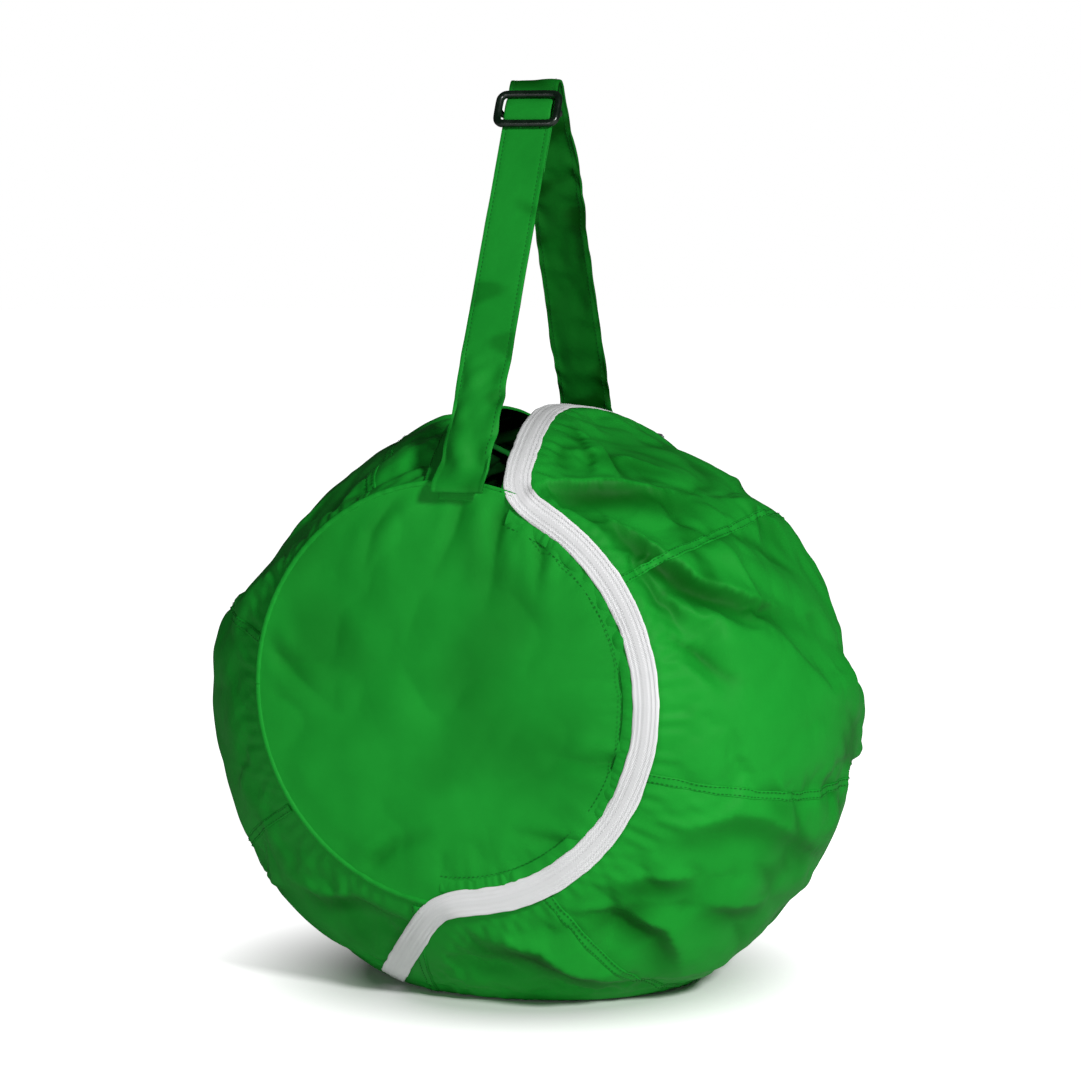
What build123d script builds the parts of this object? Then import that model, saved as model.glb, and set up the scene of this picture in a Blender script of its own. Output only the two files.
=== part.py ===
"""Round fruit picking bag: drum of sewn gores between two discs, zip, mouth, strap and tri-glide.

Row frame: +Z up, the drum's axis along Y, the front disc faces -Y.
The origin is on the ground below the middle of the bag.
"""
from build123d import *
from math import acos, asin, cos, degrees, radians, sin, sqrt
import os

os.makedirs("parts", exist_ok=True)

# ---- driving dimensions, in millimetres and degrees ----
FABRIC = 2.4            # wall stand-in: shell fabric with its lining and seam allowances
HALF_WIDTH = 249.0      # widest half width, at mid depth
HALF_DEPTH = 168.0      # from mid depth to the outer face of each disc
TOP_MID = 438.0         # crown height at mid depth
BOTTOM_MID = -30.0      # lowest point of the free curve, pressed flat at the ground
RIM_R = 154.0           # radius of both discs
DISC_Z = 238.0          # height of the disc centres
SEAM_ANGLES = (38, 88, 115, 163, 211, 259, 300, 346)   # gore seams, from +X towards +Z
HUB_Z = 225.0           # the gore seams radiate from this height
STIFFENER = 2.0         # foam board behind each disc

ZIP_R = 152.0           # middle of the zip on the front disc
ZIP_RIM_X = 49.0        # middle of the zip where it leaves each rim for the crown
ZIP_MID_X = 20.0        # and where it passes mid depth
ZIP_REAR = 160.0        # rear end of the zip
ZIP_LOW_ANGLE = -93.4   # the zip leaves the disc downwards here
ZIP_LOW_END = (-84.0, -86.0, 4.0)
ZIP_TURN_TOP = 125.5    # middle heading of the zip's turn at its top corner on the disc
ZIP_TURN_LOW = 202.0    # and at its lower corner
TAPE_WIDTH = 7.0        # each visible tape
COIL_WIDTH = 5.0
TAPE_THICK = 1.1
COIL_THICK = 2.2
STRIP_INNER_R = 135.0   # inner edge of the gathered strip beside the zip

MOUTH_LEFT = -38.0      # the mouth is a slot between the crown's left hem and the zip
MOUTH_FRONT_LEFT = -8.0     # the hem runs in to here at the front rim, behind the strap
MOUTH_TURN = -34.0      # depth where the hem starts to run in
MOUTH_REAR = 108.0
MOUTH_CORNER = 12.0
HEM_WIDTH = 12.0
HEM_THICK = 0.9

STRAP_WIDTH = 38.0
STRAP_THICK = 2.4
STRAP_TURN = 3.5        # the strap's plane is turned this much about Z
STRAP_MIDDLE = (3.0, -8.0)      # plan position of the strap's apex
FRONT_FOOT = (-162.4, 396.0)    # strap path in its own plane: (along, height)
REAR_FOOT = (127.0, 419.0)
APEX_Z = 682.8
FOLD_R = 7.0            # half the spread of the bend over the top
SWIVEL_UP = 40.0        # strap length from each foot up to the swing axis
TAB_HEIGHT = 13.0       # sewn tab below the front foot, on the disc

GLIDE_DOWN = 19.0       # slider's middle below the start of the top bend, along the strap
GLIDE_WIDTH = 51.0
GLIDE_HEIGHT = 30.0
BAR = 5.0               # bar width
BAR_THICK = 4.4
GLIDE_GAP = 0.5         # between the strap and the slider
PLY = 1.2               # one ply of the folded strap end
LOOP_TAIL = 46.0        # sewn tail of the folded strap end, below the middle bar

PULLER_Y = 146.0        # zip slider's place at rest
PULLER_WIDTH = 9.0
PULLER_LENGTH = 13.0
PULLER_THICK = 1.6
BAIL_R = 0.7            # bar that the pull tab hangs on
BAIL_RISE = 2.6         # bar above the slider's plate
BAIL_SIDE = 3.0
GRIP_LENGTH = 20.0
GRIP_WIDTH = 8.0
PULL_DROOP = 8.0        # the pull tab lies down by this angle
CLEAR = 0.4             # running clearance between bodies

RIDGE_HEIGHT = 3.0      # bound seam allowance inside each gore seam
RIDGE_WIDTH = 7.0
RING_WIDTH = 8.0        # bound seam allowance inside each rim
RING_THICK = 3.0
PLATE_GAP = 0.2         # between a disc panel and its foam board
OVERSIZE = 800.0        # trimming blocks reach well past the bag


# ---- the soft shell ----
def arc_drop(depth, drop, y):
    """Height lost at y by a circular arc that loses drop at depth."""
    radius = (depth ** 2 + drop ** 2) / (2 * drop)
    return radius - sqrt(radius ** 2 - y ** 2)


def section_half_width(y):
    return HALF_WIDTH - arc_drop(HALF_DEPTH, HALF_WIDTH - RIM_R, y)


def section_top(y):
    return TOP_MID - arc_drop(HALF_DEPTH, TOP_MID - DISC_Z - RIM_R, y)


def section_bottom(y):
    return BOTTOM_MID + arc_drop(HALF_DEPTH, DISC_Z - RIM_R - BOTTOM_MID, y)


def bag_solid(growth):
    """The whole bag as one body, grown outwards by growth and pressed flat at the ground."""
    sections = []
    for step in range(-4, 5):
        y = HALF_DEPTH * step / 4
        half_height = (section_top(y) - section_bottom(y)) / 2
        middle = (section_top(y) + section_bottom(y)) / 2
        place = Plane(
            origin=(0, y * (HALF_DEPTH + growth) / HALF_DEPTH, middle),
            x_dir=(1, 0, 0),
            z_dir=(0, 1, 0),
        )
        sections.append(place * Ellipse(section_half_width(y) + growth, half_height + growth))
    body = loft(sections)
    floor = max(0.0, -growth)
    return body & Pos(0, 0, floor + OVERSIZE / 2) * Box(OVERSIZE, OVERSIZE, OVERSIZE)


def wedge(start, end):
    """Prism along Y that spans the angles start to end about the hub."""
    corners = [(0, HUB_Z)]
    for angle in (start, (start + end) / 2, end):
        corners.append((OVERSIZE * cos(radians(angle)), HUB_Z + OVERSIZE * sin(radians(angle))))
    outline = make_face(Plane.XZ * Polyline(*corners, close=True))
    return extrude(outline, amount=OVERSIZE, both=True)


def block(x0, x1, y0, y1, z0, z1):
    return Pos((x0 + x1) / 2, (y0 + y1) / 2, (z0 + z1) / 2) * Box(x1 - x0, y1 - y0, z1 - z0)


def disc_plate(radius, y0, y1):
    """Round plate about the drum's axis, from y0 to y1."""
    round_face = Plane(origin=(0, y0, DISC_Z), x_dir=(1, 0, 0), z_dir=(0, 1, 0)) * Circle(radius)
    return extrude(round_face, amount=y1 - y0)


def disc_sector(inner, outer, start, end, y0, y1):
    """Part of a flat ring about the drum's axis, between two angles."""
    ring = disc_plate(outer, y0, y1) - disc_plate(inner, y0, y1)
    count = 8
    corners = [(0, DISC_Z)]
    for step in range(count + 1):
        angle = radians(start + (end - start) * step / count)
        corners.append((OVERSIZE * cos(angle), DISC_Z + OVERSIZE * sin(angle)))
    fan = make_face(Plane.XZ * Polyline(*corners, close=True))
    return ring & extrude(fan, amount=OVERSIZE, both=True)


def make_shell():
    outer = bag_solid(0)
    inner = bag_solid(-FABRIC)
    wall = outer - inner
    wall -= disc_plate(OVERSIZE, -OVERSIZE, -HALF_DEPTH + FABRIC)
    wall -= disc_plate(OVERSIZE, HALF_DEPTH - FABRIC, OVERSIZE)
    return outer, inner, wall


def zip_x(y):
    """Plan position of the zip's middle line over the crown."""
    return ZIP_MID_X + (ZIP_RIM_X - ZIP_MID_X) * abs(y) / HALF_DEPTH


def mouth_outline(margin):
    """Plan outline of the mouth, grown by margin on its left and rear, up against the zip."""
    tilt = 1.015
    side = (COIL_WIDTH / 2 + TAPE_WIDTH) * tilt
    front = -HALF_DEPTH + FABRIC
    rear = MOUTH_REAR + margin
    left = MOUTH_LEFT - margin
    points = [(MOUTH_FRONT_LEFT - margin, front), (zip_x(front) - side, front), (zip_x(0) - side, 0),
              (zip_x(rear) - side, rear), (left, rear), (left, MOUTH_TURN)]
    return make_face(Polyline(*points, close=True))


def mouth_cut(margin=0.0):
    """Slot through the crown, open against the front disc and rounded at its rear end."""
    outline = mouth_outline(margin)
    corners = outline.vertices().group_by(Axis.Y)[-1]
    outline = fillet(corners, MOUTH_CORNER + margin)
    return extrude(Pos(0, 0, DISC_Z + RIM_R / 2) * outline, amount=OVERSIZE)


def make_gores(wall, cut):
    gores = {}
    for index, start in enumerate(SEAM_ANGLES):
        end = SEAM_ANGLES[(index + 1) % len(SEAM_ANGLES)]
        if end < start:
            end += 360
        gores[f"wall_gore_{index + 1}"] = (wall & wedge(start, end)) - cut
    return gores


def zip_top_angle():
    return degrees(acos(ZIP_RIM_X / ZIP_R))


def make_discs():
    front = -HALF_DEPTH
    inset = 8.0
    back = front + FABRIC + PLATE_GAP
    strip_outer = ZIP_R - COIL_WIDTH / 2 - TAPE_WIDTH
    return {
        "front_disc_panel": disc_plate(RIM_R, front, front + FABRIC),
        "rear_disc_panel": disc_plate(RIM_R, -front - FABRIC, -front),
        "front_disc_stiffener": disc_plate(RIM_R - inset, back, back + STIFFENER),
        "rear_disc_stiffener": disc_plate(RIM_R - inset, -back - STIFFENER, -back),
        "gathered_rim_strip": disc_sector(
            STRIP_INNER_R, strip_outer, ZIP_LOW_ANGLE, zip_top_angle(), front - TAPE_THICK, front),
    }


def make_bindings(inner):
    """Bound seam allowances inside: a ridge under each gore seam and a ring round each rim."""
    skin = inner - bag_solid(-FABRIC - RIDGE_HEIGHT)
    near = HALF_DEPTH - FABRIC - PLATE_GAP
    far = near - RING_WIDTH
    mouth = mouth_cut(4.0)
    ridges = []
    for angle in SEAM_ANGLES:
        slab = Pos(OVERSIZE / 2, 0, 0) * Box(OVERSIZE, 2 * (far - 3.4), RIDGE_WIDTH)
        ridge = (skin & (Pos(0, 0, HUB_Z) * Rot(0, -angle, 0) * slab)) - mouth
        ridges.append(max(ridge.solids(), key=lambda solid: solid.volume))
    ring_outer = RIM_R - FABRIC * 1.5
    ring_inner = ring_outer - RING_THICK
    bindings = {"gore_seam_bindings": Compound(ridges)}
    for name, y0, y1 in (("front_rim_binding", -near, -far), ("rear_rim_binding", far, near)):
        bindings[name] = disc_plate(ring_outer, y0, y1) - disc_plate(ring_inner, y0, y1)
    return bindings


def make_hems(outer):
    """Folded hems round the mouth: one on the crown and one along the front disc's top edge."""
    skin = bag_solid(HEM_THICK) - outer
    crown_hem = (skin & mouth_cut(HEM_WIDTH)) - mouth_cut()
    crown_hem -= disc_plate(OVERSIZE, -OVERSIZE, -HALF_DEPTH + FABRIC)
    left_angle = degrees(acos(MOUTH_FRONT_LEFT / RIM_R))
    zip_side = degrees(asin((COIL_WIDTH / 2 + TAPE_WIDTH + 1.0) / ZIP_R))
    front_hem = disc_sector(
        RIM_R - HEM_WIDTH, RIM_R, zip_top_angle() + zip_side, left_angle,
        -HALF_DEPTH - HEM_THICK, -HALF_DEPTH)
    return {"mouth_hem_crown": crown_hem, "mouth_hem_front": front_hem}


# ---- the zip ----
def crown_slab(y0, y1, side0, side1):
    """Upright slab along the zip's plan line between two depths, from side0 to side1 of it."""
    start = Vector(zip_x(y0), y0, 0)
    run = Vector(zip_x(y1), y1, 0) - start
    place = Plane(origin=start, x_dir=run.normalized(), z_dir=(0, 0, 1))
    box = Box(run.length + 2, side1 - side0, OVERSIZE)
    return place * (Pos(run.length / 2, -(side0 + side1) / 2, DISC_Z + (RIM_R + OVERSIZE) / 2) * box)


def low_slab(side0, side1):
    """Slab square to the wall, from the disc's foot down and to the left as far as the ground."""
    turn = radians(ZIP_LOW_ANGLE)
    start = Vector(ZIP_R * cos(turn), -HALF_DEPTH, DISC_Z + ZIP_R * sin(turn))
    run = Vector(*ZIP_LOW_END) - start
    outward = Vector(start.X, start.Y * 0.9, start.Z - HUB_Z).normalized()
    across = outward.cross(run).normalized()
    place = Plane(origin=start, x_dir=run.normalized(), z_dir=run.cross(across).normalized())
    overlap = 10
    depth = 90
    box = Box(run.length + overlap, side1 - side0, depth)
    return place * (Pos(run.length / 2, (side0 + side1) / 2, 0) * box)


def ahead_of(angle, heading):
    """Half space past the mitre where the zip turns on the disc: a big block on the far side."""
    x = ZIP_R * cos(radians(angle))
    z = DISC_Z + ZIP_R * sin(radians(angle))
    forward = (cos(radians(heading)), 0, sin(radians(heading)))
    place = Plane(origin=(x, -HALF_DEPTH, z), x_dir=(0, 1, 0), z_dir=forward)
    size = 300
    return place * (Pos(0, 0, size / 2) * Box(size, size, size))


def zip_band(outer, low, high, thick):
    """One band of the zip: over the crown, round the front disc's rim and down to the ground."""
    front = -HALF_DEPTH
    skin = bag_solid(thick) - outer
    past_top = ahead_of(zip_top_angle(), ZIP_TURN_TOP)
    past_low = ahead_of(ZIP_LOW_ANGLE, ZIP_TURN_LOW)
    spare = 9
    arc = disc_sector(ZIP_R + low, ZIP_R + high, ZIP_LOW_ANGLE - spare, zip_top_angle() + spare,
                      front - thick, front)
    arc = arc - past_top - past_low
    cap = disc_plate(OVERSIZE, -OVERSIZE, front)
    over_cap = skin & cap & crown_slab(front - thick, 0, low, high) & past_top
    over = skin & (crown_slab(front, 0, low, high) + crown_slab(0, ZIP_REAR, low, high))
    under = skin & low_slab(low, high) & past_low
    return arc + over_cap + (over - cap) + under


def make_zip(outer):
    half = COIL_WIDTH / 2
    edge = half + TAPE_WIDTH
    return {
        "zip_tape_inner": zip_band(outer, -edge, -half, TAPE_THICK),
        "zip_coil": zip_band(outer, -half, half, COIL_THICK),
        "zip_tape_outer": zip_band(outer, half, edge, TAPE_THICK),
    }


def crown_point(x, y, growth):
    """Point on the crown of the bag grown outwards by growth."""
    station = y * HALF_DEPTH / (HALF_DEPTH + growth)
    middle = (section_top(station) + section_bottom(station)) / 2
    half_height = (section_top(station) - section_bottom(station)) / 2 + growth
    half_width = section_half_width(station) + growth
    return Vector(x, y, middle + half_height * sqrt(1 - (x / half_width) ** 2))


def crown_plane(y):
    """Frame on top of the zip's teeth over the crown: x across, y towards the rear, z outwards."""
    x = zip_x(y)
    reach = 6.0
    front = crown_point(zip_x(y - reach), y - reach, COIL_THICK)
    rear = crown_point(zip_x(y + reach), y + reach, COIL_THICK)
    left = crown_point(x - reach, y, COIL_THICK)
    right = crown_point(x + reach, y, COIL_THICK)
    outward = (right - left).cross(rear - front).normalized()
    return Plane(origin=crown_point(x, y, COIL_THICK), x_dir=(rear - front).cross(outward), z_dir=outward)


def make_puller():
    """Zip slider with its bail, the pull tab that swings on the bail's bar, and the bar's frame."""
    place = crown_plane(PULLER_Y)
    top = CLEAR + PULLER_THICK
    bar_height = top + BAIL_RISE
    post_height = BAIL_RISE + BAIL_R
    slider = extrude(place.offset(CLEAR) * RectangleRounded(PULLER_WIDTH, PULLER_LENGTH, 2.5),
                     amount=PULLER_THICK)
    for side in (-1, 1):
        post = Pos(side * BAIL_SIDE, 0, top + post_height / 2 - 0.1) * Box(1.2, 4, post_height + 0.2)
        slider += place * post
    slider += place * (Pos(0, 0, bar_height) * Rot(0, 90, 0) * Cylinder(BAIL_R, 2 * BAIL_SIDE))
    bail = place.offset(bar_height)
    eye_r = 1.9
    eye = Rot(0, 90, 0) * (Cylinder(eye_r, 4) - Cylinder(BAIL_R + CLEAR, 2 * BAIL_SIDE))
    neck = Pos(0, 4.7, 0) * Box(4, 6.4, 1.5)
    grip = Pos(0, 7 + GRIP_LENGTH / 2) * RectangleRounded(GRIP_WIDTH, GRIP_LENGTH, 3)
    grip -= Pos(0, 21) * RectangleRounded(GRIP_WIDTH / 2, 7, 1.5)
    pull = bail * Rot(-PULL_DROOP, 0, 0) * (eye + neck + extrude(grip, amount=0.75, both=True))
    return slider, pull, bail


def make_end_stop():
    """Stop clamped over the rear end of the zip's teeth."""
    thick = 1.0
    return crown_plane(ZIP_REAR - 3) * (Pos(0, 0, PLATE_GAP + thick / 2) * Box(6.5, 3, thick))


# ---- the strap, drawn in its own plane and swept sideways ----
def strap_plane():
    turn = radians(STRAP_TURN)
    return Plane(origin=(*STRAP_MIDDLE, 0), x_dir=(-sin(turn), cos(turn), 0), z_dir=(cos(turn), sin(turn), 0))


def leg_end(sign):
    return Vector(sign * FOLD_R, APEX_Z - FOLD_R, 0)


def leg_direction(foot, sign):
    return (leg_end(sign) - Vector(*foot, 0)).normalized()


def leg_length(foot, sign):
    return (leg_end(sign) - Vector(*foot, 0)).length


def leg_plane(foot, sign, distance):
    """Frame on a leg at a distance above its foot: x across, y up the leg, z outwards."""
    base = strap_plane()
    up = leg_direction(foot, sign)
    outward = Vector(sign * up.Y, abs(up.X), 0)
    point = Vector(*foot, 0) + up * distance
    origin = base.from_local_coords(point)
    up_world = base.from_local_coords(point + up) - origin
    out_world = base.from_local_coords(point + outward) - origin
    return Plane(origin=origin, x_dir=up_world.cross(out_world), z_dir=out_world)


def make_leg(foot, sign):
    """One strap leg, round-ended about the swing axis."""
    length = leg_length(foot, sign) - SWIVEL_UP
    flat = Pos(0, length / 2) * Rectangle(STRAP_WIDTH, length) + Circle(STRAP_WIDTH / 2)
    return extrude(leg_plane(foot, sign, SWIVEL_UP) * flat, amount=STRAP_THICK / 2, both=True)


def make_top_fold():
    """Bend of the strap over the top, tangent to both legs."""
    half = STRAP_THICK / 2
    ends = {}
    for sign, foot in ((-1, FRONT_FOOT), (1, REAR_FOOT)):
        up = leg_direction(foot, sign)
        outward = Vector(sign * up.Y, abs(up.X), 0)
        ends[sign] = (leg_end(sign) + outward * half, leg_end(sign) - outward * half)
    outside = ThreePointArc(ends[-1][0], Vector(0, APEX_Z + half, 0), ends[1][0])
    inside = ThreePointArc(ends[-1][1], Vector(0, APEX_Z - half, 0), ends[1][1])
    sides = [Line(ends[sign][0], ends[sign][1]) for sign in (-1, 1)]
    outline = make_face([outside, inside, *sides])
    return extrude(strap_plane() * outline, amount=STRAP_WIDTH / 2, both=True)


def make_strap():
    return make_leg(FRONT_FOOT, -1) + make_top_fold() + make_leg(REAR_FOOT, 1)


def make_anchor(foot, sign):
    """Strap end between the foot and the swing axis, hollowed round the leg's round end."""
    height = SWIVEL_UP - 8
    plate = extrude(leg_plane(foot, sign, 0) * (Pos(0, height / 2) * Rectangle(STRAP_WIDTH, height)),
                    amount=STRAP_THICK / 2, both=True)
    swivel = leg_plane(foot, sign, SWIVEL_UP).origin
    return plate - Pos(*swivel) * Sphere(STRAP_WIDTH / 2 + CLEAR)


def make_anchors():
    """Both sewn strap ends: a tab on the front disc's rim, and a patch behind the mouth."""
    front_x = leg_plane(FRONT_FOOT, -1, 0).origin.X
    rear = leg_plane(REAR_FOOT, 1, 0).origin
    face = -HALF_DEPTH - HEM_THICK
    tab = block(front_x - STRAP_WIDTH / 2, front_x + STRAP_WIDTH / 2, face - STRAP_THICK, face,
                FRONT_FOOT[1] - TAB_HEIGHT, FRONT_FOOT[1] + 1)
    patch = bag_solid(HEM_THICK + STRAP_THICK) - bag_solid(HEM_THICK)
    patch &= block(rear.X - STRAP_WIDTH / 2, rear.X + STRAP_WIDTH / 2, MOUTH_REAR + 1, rear.Y + 14,
                   DISC_Z + RIM_R / 2, TOP_MID)
    return {
        "strap_anchor_front": make_anchor(FRONT_FOOT, -1) + tab,
        "strap_anchor_rear": make_anchor(REAR_FOOT, 1) + patch,
    }


def make_glide(place):
    """Three-bar slider: two outer bars in front of the strap and the middle bar behind it."""
    near = STRAP_THICK / 2 + GLIDE_GAP
    far = near + PLY
    cheek = 4.6
    frame = RectangleRounded(GLIDE_WIDTH, GLIDE_HEIGHT, 5)
    frame -= RectangleRounded(GLIDE_WIDTH - 2 * cheek, GLIDE_HEIGHT - 2 * BAR, 2)
    glide = extrude(place.offset(near) * frame, amount=BAR_THICK)
    for side in (-1, 1):
        middle = side * (GLIDE_WIDTH - cheek) / 2
        depth = near + BAR_THICK / 2 + far + BAR_THICK
        glide += place * (Pos(middle, 0, near + BAR_THICK / 2 - depth / 2) * Box(cheek, BAR, depth))
    glide += place * (Pos(0, 0, -far - BAR_THICK / 2) * Box(GLIDE_WIDTH, BAR, BAR_THICK))
    return glide


def make_end_loop(place):
    """Strap end folded round the middle bar and sewn to itself below it."""
    middle = -STRAP_THICK / 2 - GLIDE_GAP - PLY - BAR_THICK / 2
    ring = RectangleRounded(BAR + 2 * PLY, BAR_THICK + 2 * PLY, 1.6) - Rectangle(BAR, BAR_THICK)
    overlap = 0.8
    tail = Pos(-BAR / 2 - PLY - LOOP_TAIL / 2 + overlap, BAR_THICK / 2) * Rectangle(LOOP_TAIL, 2 * PLY)
    side_view = Plane(origin=place.from_local_coords((0, 0, middle)), x_dir=place.y_dir, z_dir=place.x_dir)
    return extrude(side_view * (ring + tail), amount=STRAP_WIDTH / 2, both=True)


def write(name, shape):
    shape.label = name
    export_step(shape, f"parts/{name}.step")
    print(name, len(shape.solids()), round(shape.volume), shape.is_valid)


if __name__ == "__main__":
    outer, inner, wall = make_shell()
    glide_place = leg_plane(FRONT_FOOT, -1, leg_length(FRONT_FOOT, -1) - GLIDE_DOWN)
    slider, pull, bail = make_puller()
    nodes = {}
    nodes.update(make_gores(wall, mouth_cut()))
    nodes.update(make_discs())
    nodes.update(make_bindings(inner))
    nodes.update(make_hems(outer))
    nodes.update(make_zip(outer))
    nodes["zip_end_stop"] = make_end_stop()
    nodes["zip_slider"] = slider
    nodes["zip_pull_tab"] = pull
    nodes["shoulder_strap"] = make_strap()
    nodes.update(make_anchors())
    nodes["tri_glide_slider"] = make_glide(glide_place)
    nodes["strap_end_loop"] = make_end_loop(glide_place)
    for name, shape in nodes.items():
        write(name, shape)
    print("pull tab hinge", bail.origin, bail.x_dir)
    print("zip path", crown_plane(PULLER_Y).origin, crown_plane(PULLER_Y / 2).origin, crown_plane(12).origin)
    print("swing axis", leg_plane(FRONT_FOOT, -1, SWIVEL_UP).origin, leg_plane(REAR_FOOT, 1, SWIVEL_UP).origin)
    print("glide", glide_place.origin, "down the strap", -glide_place.y_dir)
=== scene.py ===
"""Round fruit picking bag: sewn nylon drum, zip, mouth, shoulder strap and three-bar slider."""
import bpy
import bmesh
import numpy as np
from math import asin, atan2, cos, degrees, hypot, pi, radians, sin, sqrt
from mathutils import Matrix, Vector, noise


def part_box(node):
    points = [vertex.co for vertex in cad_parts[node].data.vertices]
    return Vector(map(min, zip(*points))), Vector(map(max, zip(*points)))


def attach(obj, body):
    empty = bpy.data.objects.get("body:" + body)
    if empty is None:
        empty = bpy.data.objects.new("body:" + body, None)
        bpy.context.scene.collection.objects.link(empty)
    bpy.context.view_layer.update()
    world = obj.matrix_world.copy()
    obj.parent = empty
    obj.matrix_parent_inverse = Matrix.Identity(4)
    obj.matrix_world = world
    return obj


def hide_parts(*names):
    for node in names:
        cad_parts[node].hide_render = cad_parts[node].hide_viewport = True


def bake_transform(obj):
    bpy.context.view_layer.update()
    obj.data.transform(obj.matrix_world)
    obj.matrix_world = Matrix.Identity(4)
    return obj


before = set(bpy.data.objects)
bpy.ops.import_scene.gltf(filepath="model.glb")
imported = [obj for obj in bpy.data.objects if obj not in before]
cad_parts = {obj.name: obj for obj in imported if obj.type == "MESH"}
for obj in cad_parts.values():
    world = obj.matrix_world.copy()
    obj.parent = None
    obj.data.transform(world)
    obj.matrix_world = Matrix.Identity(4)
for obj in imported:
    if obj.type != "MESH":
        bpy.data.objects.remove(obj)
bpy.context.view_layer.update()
MM = 0.001

# ---- places read from the frame ----
DISC_LOW, DISC_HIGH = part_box("front_disc_panel")
GORES = [f"wall_gore_{number}" for number in range(1, 9)]
FRONT = DISC_LOW.y
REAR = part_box("rear_disc_panel")[1].y
HALF_DEPTH = (REAR - FRONT) / 2
MID_X = (DISC_LOW.x + DISC_HIGH.x) / 2
RIM = (DISC_HIGH.x - DISC_LOW.x) / 2
DISC_Z = (DISC_LOW.z + DISC_HIGH.z) / 2
HALF_WIDTH = max(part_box(gore)[1].x for gore in GORES)
CROWN = max(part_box(gore)[1].z for gore in GORES)

# ---- the bag's own driving sizes, in metres and degrees ----
BELLY = -0.030                  # lowest point of the free curve, pressed flat at the ground
HUB_Z = 0.225                   # the gore seams radiate from this height
SEAMS = (38, 115, 163, 211, 259, 300, 346)
ZIP_R = RIM - 2 * MM            # middle of the zip on the front disc
ZIP_RIM_X = 0.049               # middle of the zip where it leaves each rim for the crown
ZIP_MID_X = 0.020               # and where it passes mid depth
ZIP_REAR = 0.160
ZIP_HALF = 9.5 * MM
ZIP_LOW_ANGLE = -93.4
ZIP_LOW_END = Vector((-0.084, -0.086, 0.004))
STRIP_INNER = RIM - 19 * MM     # stitch line of the gathered strip
MOUTH_LEFT = -0.038
MOUTH_FRONT_LEFT = -0.008       # the mouth's left edge runs in to here at the front rim
MOUTH_TURN = -0.034
MOUTH_REAR = 0.108
HEM = 12 * MM
FABRIC = 0.5 * MM

CALM_REACH = 30 * MM            # creases and crumples fade out this near to a held edge
SWELL_SIZE, SWELL_HEIGHT = 95 * MM, 4.2 * MM        # broad swells of the wall
CRUMPLE_SIZE, CRUMPLE_HEIGHT = 52 * MM, 5.2 * MM    # crumples with sharp valleys
FINE_SIZE, FINE_HEIGHT = 24 * MM, 1.4 * MM          # and the small ones between them
PUCKER_DEPTH, PUCKER_WAVE = 1.8 * MM, 1.2 * MM      # cloth drawn in along a seam
DRAPE_FRAMES = 24
DRAPE_INWARD = 11 * MM          # how far the settled cloth may leave its pattern, three ways
DRAPE_OUTWARD = 3.5 * MM
DRAPE_SIDEWAYS = 6 * MM
FOLD_PAINTED_SHADE_TINT = (0.10, 0.27, 0.12)    # painted shade: share of each colour left at the bottom of a fold

ROWS = 120                      # cloth rows from the front rim to the rear rim
COLUMN_PITCH = 0.95             # degrees between cloth columns


# ---------------------------------------------------------------- materials
def colour(red, green, blue):
    return (red, green, blue, 1.0)


def new_material(name):
    material = bpy.data.materials.new(name)
    material.use_nodes = True
    nodes = material.node_tree.nodes
    return material, nodes, material.node_tree.links, nodes["Principled BSDF"]


def add_node(nodes, kind, **settings):
    node = nodes.new(kind)
    for key, value in settings.items():
        if hasattr(node, key):
            setattr(node, key, value)
        else:
            node.inputs[key.replace("_", " ")].default_value = value
    return node


def colour_spread(nodes, links, source, dark, light, low=0.3, high=0.7):
    ramp = add_node(nodes, "ShaderNodeValToRGB")
    ramp.color_ramp.elements[0].position = low
    ramp.color_ramp.elements[0].color = colour(*dark)
    ramp.color_ramp.elements[1].position = high
    ramp.color_ramp.elements[1].color = colour(*light)
    links.new(source, ramp.inputs["Fac"])
    return ramp.outputs["Color"]


def math_node(nodes, links, operation, first, second):
    node = add_node(nodes, "ShaderNodeMath", operation=operation)
    for slot, value in enumerate((first, second)):
        if isinstance(value, (int, float)):
            node.inputs[slot].default_value = value
        else:
            links.new(value, node.inputs[slot])
    return node.outputs[0]


def weave_height(nodes, links, coords, pitch):
    """Over-and-under height of a plain weave, from the cloth's own flat coordinates."""
    split = add_node(nodes, "ShaderNodeSeparateXYZ")
    links.new(coords, split.inputs[0])
    waves = []
    for axis in ("X", "Y"):
        turned = math_node(nodes, links, "MULTIPLY", split.outputs[axis], pi / pitch)
        waves.append(math_node(nodes, links, "SINE", turned, 0.0))
    return math_node(nodes, links, "MULTIPLY", waves[0], waves[1])


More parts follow.
